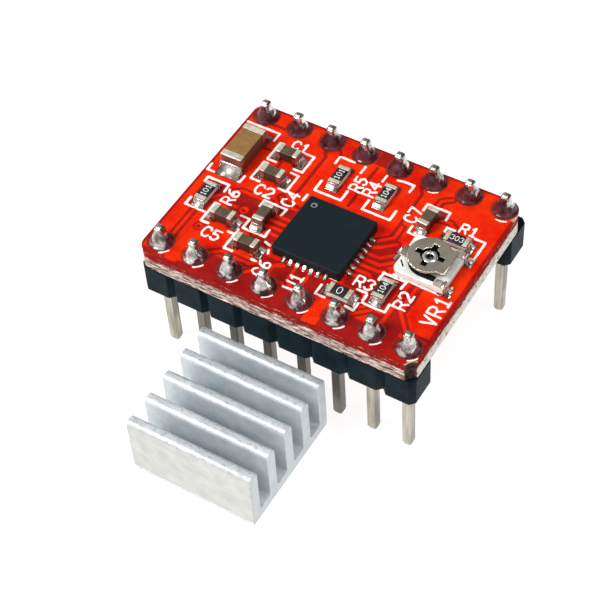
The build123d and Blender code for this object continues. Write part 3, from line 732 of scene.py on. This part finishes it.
def make_board():
    """Relief of the top, fibrous edge and plain underside as one closed mesh."""
    columns, row_step = 332, 0.06
    ease = [0.0, 0.003, 0.012, 0.028, 0.05, 0.08, 0.12]
    middle = list(np.arange(FRONT + 0.17, BACK - 0.16, row_step))
    levels = [FRONT + e for e in ease] + middle + [BACK - e for e in reversed(ease)]
    rows = len(levels)
    x, y = np.zeros((rows, columns)), np.zeros((rows, columns))
    for row, level in enumerate(levels):
        left, right = row_ends(level)
        x[row] = np.linspace(left, right, columns)
        y[row] = level
    height, copper = board_relief(x, y)
    edge = np.minimum(y - FRONT, 9)
    worn = smooth_step(0.05 + 0.16 * (wandering(x, y, 2.3, 3) - 0.5) - edge, 0.04)
    corner = smooth_step(x + 1.2 * (wandering(x, y, 1.1, 5) - 0.5) - 9.45, 0.12)
    corner *= smooth_step(y - 5.4, 0.5) * smooth_step(7.1 - y, 0.3)
    # Mask thinned round the corner bite.
    near_bite = smooth_step(BITE_RADIUS + 0.16 - np.hypot(x - BITE[0], y - BITE[1]), 0.1)
    mask = (1 - 0.35 * worn) * (1 - 0.6 * corner) * (1 - 0.55 * near_bite)
    points = np.stack([x, y, height], -1).reshape(-1, 3).tolist()
    copper, mask = copper.ravel().tolist(), mask.ravel().tolist()
    faces = []
    for row in range(rows - 1):
        start = row * columns
        for column in range(columns - 1):
            a = start + column
            faces.append((a, a + 1, a + columns + 1, a + columns))
    top_faces = len(faces)
    ring = list(range(columns))
    ring += [row * columns + columns - 1 for row in range(1, rows)]
    ring += [(rows - 1) * columns + column for column in range(columns - 2, -1, -1)]
    ring += [row * columns for row in range(rows - 2, 0, -1)]
    outline = np.array([points[i][:2] for i in ring])
    inward = np.roll(outline, -1, 0) - np.roll(outline, 1, 0)
    inward = np.stack([-inward[:, 1], inward[:, 0]], -1)
    inward /= np.maximum(np.linalg.norm(inward, axis=1, keepdims=True), 1e-9)
    along = np.concatenate([[0], np.cumsum(np.linalg.norm(np.diff(outline, axis=0), axis=1))])
    last = ring
    sides = 22
    for step in range(1, sides + 1):
        level = BOARD_TOP - (BOARD_TOP - BOARD_BOTTOM) * step / sides
        rough = np.clip(wandering(along, np.full(along.shape, level * 9), 1.5, 7), 0, 1) ** 2
        layer = 0.5 + 0.5 * math.sin(level * 21)
        depth = 0.09 * rough + 0.03 * layer if step < sides else np.zeros(len(ring))
        spots = outline + inward * depth[:, None]
        first = len(points)
        points += [[px, py, level] for px, py in spots.tolist()]
        copper += [0.0] * len(ring)
        mask += [1.0] * len(ring)
        now = list(range(first, first + len(ring)))
        count = len(ring)
        for i in range(count):
            after = (i + 1) % count
            faces.append((last[i], now[i], now[after], last[after]))
        last = now
    side_faces = len(faces) - top_faces
    faces.append(tuple(reversed(last)))
    mesh = new_mesh("board", points, faces)
    set_shares(mesh, copper, mask)
    keys = np.zeros(len(mesh.polygons), np.int32)
    keys[top_faces:top_faces + side_faces] = 1
    mesh.polygons.foreach_set("material_index", keys)
    mesh.polygons[-1].use_smooth = False
    marks = mesh.attributes.new("sharp_edge", "BOOLEAN", "EDGE")
    rim = set()
    for loop in (ring, last):
        rim |= {tuple(sorted((loop[i], loop[(i + 1) % len(loop)]))) for i in range(len(loop))}
    flags = [tuple(sorted(e.vertices)) in rim for e in mesh.edges]
    marks.data.foreach_set("value", flags)
    add_piece(mesh, ["mask", "edge"], replaced=["pcb"])


# ---------------- printing on the board

FRAME_HALF, LETTER_HALF, THIN_HALF = 0.088, 0.074, 0.055

PRINT_LINES = [
    [(-9.75, 5.33), (-7.25, 5.33), (-7.25, 4.6)],
    [(-9.76, 0.9), (-9.76, 0.33), (-7.25, 0.33), (-7.25, 0.92)],
    [(-6.5, 4.63), (-6.77, 4.63), (-6.77, 2.99), (-6.13, 2.99)],
    [(-4.74, 4.56), (-4.12, 4.56), (-4.12, 2.99), (-4.74, 2.99)],
    [(-6.55, 2.65), (-6.82, 2.65), (-6.82, 1.0), (-6.16, 1.0)],
    [(-4.74, 2.63), (-4.15, 2.6), (-4.15, 1.04), (-4.74, 1.04)],
    [(-9.33, -0.65), (-9.33, -0.22), (-7.72, -0.22), (-7.68, -0.85)],
    [(-9.33, -2.28), (-9.33, -2.93), (-7.85, -2.93)],
    [(-7.35, -1.98), (-7.66, -1.98), (-7.66, -3.67), (-7.1, -3.67)],
    [(-5.59, -2.1), (-4.95, -2.1), (-4.95, -2.93), (-3.33, -2.93), (-3.36, -2.3)],
    [(-5.59, -3.66), (-5.15, -3.66)],
    [(-4.99, -0.8), (-4.99, -0.27), (-3.33, -0.27), (-3.37, -0.88)],
    [(-5.11, -3.2), (-5.11, -4.93), (-4.5, -4.93)], [(-3.06, -3.28), (-2.65, -3.4)],
    [(-2.52, -3.78), (-2.4, -4.02)], [(-3.06, -4.92), (-2.73, -4.92)],
    [(-2.65, 4.75), (-2.65, 5.42), (-1.57, 5.40)], [(-0.74, 5.39), (-0.74, 4.78)],
    [(-2.63, 2.95), (-2.63, 2.05), (-0.68, 2.05), (-0.68, 2.95)], [(0.87, 5.35), (0.87, 4.77)],
    [(1.7, 5.33), (2.1, 5.42), (2.85, 5.42), (2.85, 4.77)],
    [(0.9, 2.93), (0.9, 2.05), (2.9, 2.05), (2.9, 2.93)],
    [(4.37, 3.8), (4.37, 4.42), (6.0, 4.42), (6.02, 3.75)],
    [(4.41, 2.3), (4.41, 1.71), (5.2, 1.71)], [(5.5, 2.3), (5.5, 1.95)],
    [(6.41, 2.24), (6.41, 3.23), (6.95, 3.23)],
    [(8.4, 3.21), (9.09, 3.21), (9.09, 1.6), (8.15, 1.62)], [(5.33, -1.75), (8.5, -1.87)],
    [(8.2, -1.68), (8.98, -1.7), (8.98, -1.0)],
    [(4.73, -2.55), (4.73, -1.94), (6.32, -1.94), (6.26, -2.55)],
    [(4.68, -4.0), (4.68, -4.66), (6.3, -4.66), (6.27, -4.0)],
    [(2.5, -5.4), (1.83, -5.4), (1.83, -4.6)], [(3.94, -3.87), (4.6, -3.87)],
    [(3.94, -5.37), (4.55, -5.45), (4.55, -4.7)], [(-2.81, 1.46), (-2.81, 0.9)],
]

GLYPHS = {
    "C": [[(0.9, 0.8), (0.7, 1), (0.25, 1), (0, 0.72), (0, 0.28), (0.25, 0), (0.7, 0), (0.9, 0.2)]],
    "R": [
        [(0, 0), (0, 1), (0.6, 1), (0.88, 0.86), (0.88, 0.6), (0.6, 0.46), (0, 0.46)],
        [(0.5, 0.46), (0.9, 0)],
    ],
    "U": [[(0, 1), (0, 0.25), (0.22, 0), (0.68, 0), (0.9, 0.25), (0.9, 1)]],
    "V": [[(0, 1), (0.45, 0), (0.9, 1)]],
    "0": [[
        (0.25, 0), (0, 0.28), (0, 0.72), (0.25, 1), (0.65, 1), (0.9, 0.72), (0.9, 0.28), (0.65, 0),
        (0.25, 0),
    ]],
    "1": [[(0.2, 0.78), (0.5, 1), (0.5, 0)], [(0.2, 0), (0.8, 0)]],
    "2": [[(0, 0.8), (0.2, 1), (0.7, 1), (0.9, 0.8), (0.9, 0.6), (0, 0), (0.9, 0)]],
    "7": [[(0, 1), (0.9, 1), (0.4, 0)]],
    "3": [[
        (0, 0.85), (0.25, 1), (0.65, 1), (0.9, 0.8), (0.62, 0.53), (0.9, 0.28), (0.65, 0), (0.25, 0),
        (0, 0.15),
    ]],
    "4": [[(0.65, 0), (0.65, 1), (0, 0.3), (0.9, 0.3)]],
    "5": [[(0.85, 1), (0.1, 1), (0.05, 0.56), (0.6, 0.6), (0.9, 0.34), (0.6, 0), (0.2, 0), (0, 0.14)]],
    "6": [[
        (0.75, 1), (0.3, 0.85), (0, 0.35), (0.15, 0.05), (0.45, 0), (0.8, 0.1), (0.9, 0.32), (0.6, 0.55),
        (0.08, 0.42),
    ]],
}

LABELS = [
    ("C1", (-5.40, 4.95), 0, 0.72), ("C2", (-5.42, 0.42), 0, 0.80), ("C5", (-6.45, -4.32), 0, 0.80),
    ("R1", (7.73, 3.65), 0, 0.72), ("R3", (4.10, -3.23), 0, 0.80), ("C4", (-3.57, 0.62), 90, 0.80),
    ("C6", (-2.13, -5.25), 90, 0.80), ("C7", (4.00, 3.15), 90, 0.80),
    ("R2", (6.87, -3.35), 90, 0.85), ("R4", (0.60, 3.85), 90, 0.80),
    ("R5", (-0.37, 3.83), 90, 0.80), ("R6", (-7.07, -1.05), 90, 0.80),
    ("U1", (0.20, -5.25), 90, 0.80), ("VR1", (9.00, -3.16), 90, 0.95),
]


def text_strokes(text, centre, turn, height):
    """Strokes of a short text, centred on a point, reading along X when turn is 0."""
    width, gap = 0.62 * height, 0.26 * height
    total = len(text) * width + (len(text) - 1) * gap
    angle = math.radians(turn)
    strokes = []
    for place, glyph in enumerate(text):
        for stroke in GLYPHS[glyph]:
            line = []
            for u, v in stroke:
                along = place * (width + gap) + u * width / 0.9 - total / 2
                up = (v - 0.5) * height
                line.append((
                    centre[0] + along * math.cos(angle) - up * math.sin(angle),
                    centre[1] + along * math.sin(angle) + up * math.cos(angle),
                ))
            strokes.append(line)
    return strokes


def arc_stroke(centre, radius, start, end):
    """Part of a circle as a polyline, angles in degrees."""
    steps = 8
    turns = [math.radians(start + (end - start) * i / steps) for i in range(steps + 1)]
    return [(centre[0] + radius * math.cos(t), centre[1] + radius * math.sin(t)) for t in turns]


def film_mesh(name, distance, box, step, level, thickness):
    """A thin closed film wherever the distance field is negative, laid on the given level."""
    left, right, front, back = box
    xs = np.arange(left, right + step, step)
    ys = np.arange(front, back + step, step)
    x, y = np.meshgrid(xs, ys)
    field = distance(x, y)
    inside = field < 0
    busy = inside[:-1, :-1] | inside[1:, :-1] | inside[:-1, 1:] | inside[1:, 1:]
    points, numbers, faces = [], {}, []

    def number(key, px, py):
        if key not in numbers:
            numbers[key] = len(points)
            points.append((px, py))
        return numbers[key]

    for row, column in np.argwhere(busy):
        corners = [(row, column), (row, column + 1), (row + 1, column + 1), (row + 1, column)]
        face = []
        for here, there in zip(corners, corners[1:] + corners[:1]):
            low, high = field[here], field[there]
            if low < 0:
                face.append(number(here, x[here], y[here]))
            if (low < 0) != (high < 0):
                share = min(max(low / (low - high), 0.04), 0.96)
                px = x[here] + share * (x[there] - x[here])
                py = y[here] + share * (y[there] - y[here])
                face.append(number((*sorted((here, there)), "cut"), px, py))
        if len(face) > 2:
            faces.append(tuple(face))
    count = len(points)
    flat = np.array(points)
    base = level(flat[:, 0], flat[:, 1])
    edges = dict.fromkeys(edge for face in faces for edge in zip(face, face[1:] + face[:1]))
    rim = [edge for edge in edges if edge[::-1] not in edges]
    sunk = math.copysign(0.004, thickness)
    solid = [(px, py, pz + thickness) for (px, py), pz in zip(points, base.tolist())]
    solid += [(px, py, pz - sunk) for (px, py), pz in zip(points, base.tolist())]
    walls = [(b, a, a + count, b + count) for a, b in rim]
    beneath = [tuple(spot + count for spot in reversed(face)) for face in faces]
    skin = faces + walls + beneath
    if thickness < 0:
        skin = [tuple(reversed(face)) for face in skin]
    mesh = new_mesh(name, solid, skin)
    shape = bmesh.new()
    shape.from_mesh(mesh)
    loose = [v for v in shape.verts if not v.link_faces]
    bmesh.ops.delete(shape, geom=loose, context="VERTS")
    shape.to_mesh(mesh)
    shape.free()
    return mesh


def flat_level(height):
    """A level surface for a film to lie on."""
    return lambda x, y: np.full(x.shape, height)


def make_board_print():
    """Frames round the parts, arcs by the pins and reference designators."""
    arcs = [arc_stroke((pin, -ROW_Y), 0.97, -66, -27) for pin in PIN_X]
    arcs.append(arc_stroke((PIN_X[5], ROW_Y), 0.97, -86, -50))
    arcs.append(arc_stroke((PIN_X[7], ROW_Y), 1.05, -97, -60))
    letters = [s for label in LABELS for s in text_strokes(*label)]
    thin = [[(2.05, -3.9), (2.5, -3.9)]]

    def distance(x, y):
        ragged = 0.05 * (wandering(x, y, 5.0, 11) - 0.5)
        nearest = stroke_distance(x, y, PRINT_LINES) - FRAME_HALF
        nearest = np.minimum(nearest, stroke_distance(x, y, letters) - LETTER_HALF)
        nearest = np.minimum(nearest, stroke_distance(x, y, thin + arcs) - THIN_HALF)
        clear_of_pads = 0.01 - pad_distance(x, y)
        return np.maximum(nearest + ragged, clear_of_pads)

    box = (LEFT + 0.1, RIGHT - 0.1, FRONT + 0.1, BACK - 0.1)
    mesh = film_mesh("board_print", distance, box, 0.035, lambda x, y: board_relief(x, y)[0], 0.014)
    add_piece(mesh, ["print"])


def make_resistor_marks():
    """Generic value digits on the resistors."""
    reach = 0.75
    for index, (text, (centre, turn)) in enumerate(zip(RESISTOR_VALUES, RESISTOR_PLACES), 1):
        strokes = text_strokes(text, centre, turn, 0.36 if len(text) > 1 else 0.50)

        def distance(x, y, strokes=strokes):
            return stroke_distance(x, y, strokes) - 0.023

        box = (centre[0] - reach, centre[0] + reach, centre[1] - reach, centre[1] + reach)
        name = f"resistor_{index}_digits"
        add_piece(film_mesh(name, distance, box, 0.018, flat_level(RESISTOR_TOP), 0.008), ["digits"])


# ---------------- pieces built up from rings


def tube_faces(first, rings, count):
    """Faces of a stack of rings of points, closed at both ends."""
    faces = []
    for level in range(rings - 1):
        for step in range(count):
            after = (step + 1) % count
            low, high = first + level * count, first + (level + 1) * count
            faces.append((low + step, low + after, high + after, high + step))
    faces.append(tuple(first + step for step in reversed(range(count))))
    faces.append(tuple(first + (rings - 1) * count + step for step in range(count)))
    return faces


LIP = 0.62


def pin_joint(centre, seed):
    """
    Cone of solder from the pad to the tip of the pin, as rings of points. The profile gives each
    ring's height, its radius and how far it has gone from round to square.
    """
    rings = []
    count = 36
    profile = [
        (0.00, 0.80, 0.0), (0.03, 0.78, 0.0), (0.07, 0.735, 0.0), (0.13, 0.695, 0.0), (0.22, 0.66, 0.0),
        (0.34, 0.62, 0.05), (0.46, 0.57, 0.1), (0.58, 0.505, 0.2), (0.70, 0.44, 0.4), (0.82, 0.39, 0.65),
        (0.94, 0.36, 0.85), (1.06, 0.35, 1.0), (1.18, 0.345, 1.0), (1.27, 0.33, 1.0),
    ]
    lean = noise.noise(Vector((seed * 3.1, 1.7, 0.0))) * 0.05
    for height, radius, square in profile:
        ring = []
        for step in range(count):
            angle = 2 * math.pi * step / count
            corner = 1 / max(abs(math.cos(angle)), abs(math.sin(angle)))
            side = min(0.83 * corner, 1.03)
            spread = radius * (1 + square * (side - 1))
            place = Vector((math.cos(angle) * 1.1, math.sin(angle) * 1.1, height * 1.5 + seed * 7.3))
            lump = noise.noise(place * 1.2) * 0.16 + noise.noise(place * 3.1) * 0.03
            rise = min(height / 0.3, 1) * (1 - 0.75 * square)
            spread *= 1 + lump * rise
            ring.append((
                centre[0] + spread * math.cos(angle) + lean * height,
                centre[1] + spread * math.sin(angle) - lean * height,
                PAD_TOP + height,
            ))
        rings.append(ring)
    return rings


def make_pin_joints(row, centre_y, seed):
    points, faces = [], []
    for index, pin in enumerate(PIN_X):
        rings = pin_joint((pin, centre_y), seed + index)
        start = len(points)
        for ring in rings:
            points += ring
        inner = [(pin + (x - pin) * LIP, centre_y + (y - centre_y) * LIP, z) for x, y, z in rings[-1]]
        points += inner
        faces += tube_faces(start, len(rings) + 1, len(inner))
    mesh = new_mesh(f"solder_{row}_cones", points, faces)
    add_piece(mesh, ["joint"], replaced=[f"solder_{row}"])


def make_eyelet_rim():
    """Rolled lip of the eyelet that holds the rotor, as a closed turned piece; the bottom and lower bore
    take the trimmer track's black finish as painted shade.
    """
    profile = [
        (0.01, 10.44), (0.195, 10.44), (0.20, 10.50), (0.205, 10.64), (0.225, 10.70),
        (0.27, 10.735), (0.34, 10.75), (0.42, 10.735), (0.49, 10.70), (0.54, 10.65),
        (0.52, 10.635), (0.215, 10.63), (0.21, 10.42), (0.01, 10.42),
    ]
    count, painted_shade_faces = 48, 4
    points, faces = [], []
    for step in range(count):
        angle = 2 * math.pi * step / count
        along, across = math.cos(angle), math.sin(angle)
        points += [(TRIMMER[0] + r * along, TRIMMER[1] + r * across, z) for r, z in profile]
    size = len(profile)
    for step in range(count):
        for spot in range(size):
            here, there = step * size, ((step + 1) % count) * size
            after = (spot + 1) % size
            faces.append((here + spot, there + spot, there + after, here + after))
    mesh = new_mesh("trimmer_eyelet_rim", points, faces)
    # The bottom and lower bore take the second, black finish as painted shade.
    for face in mesh.polygons:
        face.material_index = 1 if face.index % size < painted_shade_faces else 0
    add_piece(mesh, ["chrome", "ink_and_painted_shade"])


def make_clip_curls():
    """Curled ends of the trimmer's two end clips, lying along the edge of its base."""
    clips = nodes["trimmer_end_terminals"]
    corners = [clips.matrix_world @ Vector(corner) for corner in clips.bound_box]
    right = max(c.x for c in corners) / MM
    top = max(c.z for c in corners) / MM
    front = min(c.y for c in corners) / MM
    back = max(c.y for c in corners) / MM
    radius, length, count = 0.13, 0.56, 20
    points, faces = [], []
    for start in (front + 0.08, back - 0.08 - length):
        first = len(points)
        nose = [(0.0, 0.55), (0.06, 0.88), (0.14, 1.0)]
        ends = nose + [(length - along, share) for along, share in reversed(nose)]
        for along, share in ends:
            for step in range(count):
                angle = 2 * math.pi * step / count
                wave = 1 + 0.10 * noise.noise(Vector((angle, along * 6, start)))
                out, up = (radius * share * wave * turn for turn in (math.cos(angle), math.sin(angle)))
                points.append((right - 0.15 + out, start + along, top - 0.02 + up))
        for ring in range(len(ends) - 1):
            for step in range(count):
                after = (step + 1) % count
                low, high = first + ring * count, first + (ring + 1) * count
                faces.append((low + step, high + step, high + after, low + after))
        faces.append(tuple(first + step for step in range(count)))
        faces.append(tuple(first + (len(ends) - 1) * count + step for step in reversed(range(count))))
    mesh = new_mesh("trimmer_clip_curls", points, faces)
    add_piece(mesh, ["chrome"])


def make_base_mark():
    """Short printed dash on the trimmer's base."""
    dash = [[(5.36, -0.90), (5.70, -1.28)]]
    mesh = film_mesh(
        "trimmer_base_mark",
        lambda x, y: stroke_distance(x, y, dash) - 0.05,
        (5.2, 5.9, -1.5, -0.7),
        0.02,
        flat_level(10.25),
        0.008,
    )
    add_piece(mesh, ["ink_and_painted_shade"])


def make_underside():
    """Copper pour under the mask of the underside: clearances round the pins, a few tracks and vias."""
    tracks = [
        [(-8.0, -3.0), (-4.0, -3.0), (-2.0, -1.0), (-2.0, 2.0), (-3.81, 4.2)],
        [(8.0, -3.0), (4.5, -3.0), (2.6, -1.2), (2.6, 2.0), (3.81, 4.2)],
        [(-1.27, 5.0), (-1.27, 3.2), (1.27, 1.0), (1.27, -2.4), (3.81, -4.6)],
        [(-8.89, 3.6), (-6.0, 1.0), (-6.0, -1.2), (-8.89, -3.6)],
        [(8.89, 3.6), (6.6, 1.6), (6.6, -1.2), (8.89, -3.6)],
    ]
    vias = [(CHIP[0] + 0.62 * i, CHIP[1] + 0.62 * j) for i in (-2, -1, 0, 1, 2) for j in (-2, -1, 0, 1, 2)]

    def distance(x, y):
        inside = -box_distance(x, y, LEFT + 0.45, RIGHT - 0.45, FRONT + 0.45, BACK - 0.45)
        line = stroke_distance(x, y, tracks)
        copper = np.minimum(inside, np.maximum(line - 0.28, 0.12 - line))
        copper = np.minimum(copper, pin_distance(x, y) - 1.02)
        for via_x, via_y in vias:
            copper = np.minimum(copper, np.hypot(x - via_x, y - via_y) - 0.12)
        return -copper

    box = (LEFT + 0.3, RIGHT - 0.3, FRONT + 0.3, BACK - 0.3)
    mesh = film_mesh("board_underside", distance, box, 0.09, flat_level(BOARD_BOTTOM), -0.03)
    whole = [1.0] * len(mesh.vertices)
    set_shares(mesh, whole, whole)
    add_piece(mesh, ["mask"])


def make_pin(row, index, x, y):
    """Square drawn pin with softened corners, a rounded lower end and a clipped upper end."""
    tip = 0.34 if row == "front" else 0.2
    ends = [(0.0, 0.30), (0.04, 0.48), (0.11, 0.64), (0.22, 0.78), (0.38, 0.89), (0.6, 0.96), (1.0, 1.0)]
    levels = [(tip * share, PIN_HALF * width) for share, width in ends]
    levels += [(height, PIN_HALF) for height in (3.0, 6.0, 9.0, 9.9)]
    levels += [(10.5, 0.275)]
    levels += [(10.9, 0.262), (10.98, 0.255), (11.05, 0.225), (11.12, 0.16), (11.15, 0.09)]
    points = []
    corner_steps = 4
    for level, half in levels:
        bend = min(0.06, half * 0.5) if level > 0.3 else 0.06 + (half - 0.06) * (1 - level / 0.3) * 0.9
        for quarter in range(4):
            for step in range(corner_steps):
                angle = math.radians(90 * quarter + 90 * step / (corner_steps - 1))
                cx = (half - bend) * (1 if quarter in (0, 3) else -1)
                cy = (half - bend) * (1 if quarter in (0, 1) else -1)
                points.append((x + cx + bend * math.cos(angle), y + cy + bend * math.sin(angle), level))
    faces = tube_faces(0, len(levels), 4 * corner_steps)
    mesh = new_mesh(f"pin_{row}_{index}_bar", points, faces)
    settle_normals(add_piece(mesh, ["pin"], replaced=[f"pin_{row}_{index}"]))


# ---------------- the pieces

make_board()
make_board_print()
make_resistor_marks()
make_underside()
make_pin_joints("front", -ROW_Y, 1)
make_pin_joints("back", ROW_Y, 21)

keep_node("board_copper", "copper")
keep_node("chip_leads", "lead")
keep_node("chip_thermal_pad", "lead")
keep_node("chip_die", "silicon")
keep_node("trimmer_track", "ink_and_painted_shade")

for row in ("front", "back"):
    rounded_copy(f"header_{row}", f"header_{row}_strip", "header", 0.06)
    for index in range(1, 9):
        make_pin(row, index, PIN_X[index - 1], ROW_Y if row == "back" else -ROW_Y)

rounded_copy(
    "smd_solder", "smd_fillets", "solder", 0.06,
    lumps=0.01, lump_scale=1.2, cuts=1,
)
rounded_copy("chip_mold_body", "chip_body", "chip", 0.035)
rounded_copy("bulk_capacitor_body", "bulk_capacitor_block", "tan", 0.06)
rounded_copy("bulk_capacitor_ends", "bulk_capacitor_caps", "end", 0.08)
for index in range(1, 7):
    part = f"capacitor_{index}"
    rounded_copy(f"{part}_body", f"{part}_block", "grey", 0.04)
    rounded_copy(f"{part}_ends", f"{part}_caps", "end", 0.05)
    part = f"resistor_{index}"
    rounded_copy(f"{part}_body", f"{part}_block", "resistor", 0.02)
    rounded_copy(f"{part}_ends", f"{part}_caps", "end", 0.03)

rounded_copy("trimmer_base", "trimmer_base_plate", "alumina", 0.05)
rounded_copy("trimmer_wiper_terminal", "trimmer_eyelet", "nickel", 0.02, 2)
rounded_copy(
    "trimmer_end_terminals", "trimmer_end_clips", "clip", 0.04,
    lumps=0.05, lump_scale=2.2, cuts=2,
)
make_eyelet_rim()
make_clip_curls()
make_base_mark()
rounded_copy("trimmer_rotor", "trimmer_rotor_cup", "rotor", 0.03, 2, body="rotor")
loose = "loose_heatsink"
rounded_copy("heatsink", "heatsink_fins", "heatsink", 0.05, body=loose)
rounded_copy("heatsink_adhesive_pad", "heatsink_tape", "tape", 0.04, body=loose)


# ---------------- floor, light and camera


def make_floor():
    mesh = bpy.data.meshes.new("floor")
    side = 0.6
    corners = [(-side, -side, 0), (side, -side, 0), (side, side, 0), (-side, side, 0)]
    mesh.from_pydata(corners, [], [(0, 1, 2, 3)])
    floor = new_object("floor", mesh)
    mesh.materials.append(finish["floor"])
    shader = finish["floor"].node_tree.nodes["Principled BSDF"]
    shader.inputs["Emission Color"].default_value = (1, 1, 1, 1)
    shader.inputs["Emission Strength"].default_value = 0.90


def make_world():
    """Pale surroundings, brightest towards the front left and darker towards +X."""
    world = bpy.data.worlds.new("studio")
    bpy.context.scene.world = world
    world.use_nodes = True
    tree = world.node_tree
    tree.nodes.clear()
    coordinates = tree.nodes.new("ShaderNodeTexCoord")
    along = tree.nodes.new("ShaderNodeVectorMath")
    along.operation = "DOT_PRODUCT"
    along.inputs[1].default_value = (-0.45, -0.85, 0.28)
    tree.links.new(coordinates.outputs["Generated"], along.inputs[0])
    strength = map_range(tree, along.outputs["Value"], -0.7, 0.7, 0.08, 0.75)
    background = tree.nodes.new("ShaderNodeBackground")
    background.inputs["Color"].default_value = (1.0, 1.0, 1.0, 1)
    tree.links.new(strength, background.inputs["Strength"])
    output = tree.nodes.new("ShaderNodeOutputWorld")
    tree.links.new(background.outputs[0], output.inputs[0])


def make_lamp(name, place, aim, side, power):
    lamp = bpy.data.lights.new(name, "AREA")
    lamp.shape = "SQUARE"
    lamp.size = side
    lamp.energy = power
    holder = new_object(name, lamp)
    holder.location = place
    holder.rotation_euler = (Vector(aim) - Vector(place)).to_track_quat("-Z", "Y").to_euler()


def make_camera():
    camera_data = bpy.data.cameras.new("camera")
    camera_data.lens = 104.86
    camera_data.sensor_width = 36
    camera_data.clip_start = 0.002
    camera_data.clip_end = 10
    camera = new_object("camera", camera_data)
    camera.location = (0.039814, -0.062784, 0.091755)
    camera.rotation_euler = (math.radians(39.733), math.radians(2.730), math.radians(31.009))
    bpy.context.scene.camera = camera


make_floor()
make_world()
make_lamp("key", (-0.12, -0.15, 0.21), (0, 0, 0.006), 0.10, 0.62)
make_lamp("top", (0.10, 0.03, 0.26), (0, 0, 0.006), 0.12, 0.22)
make_camera()
bpy.context.scene.view_settings.view_transform = "Standard"
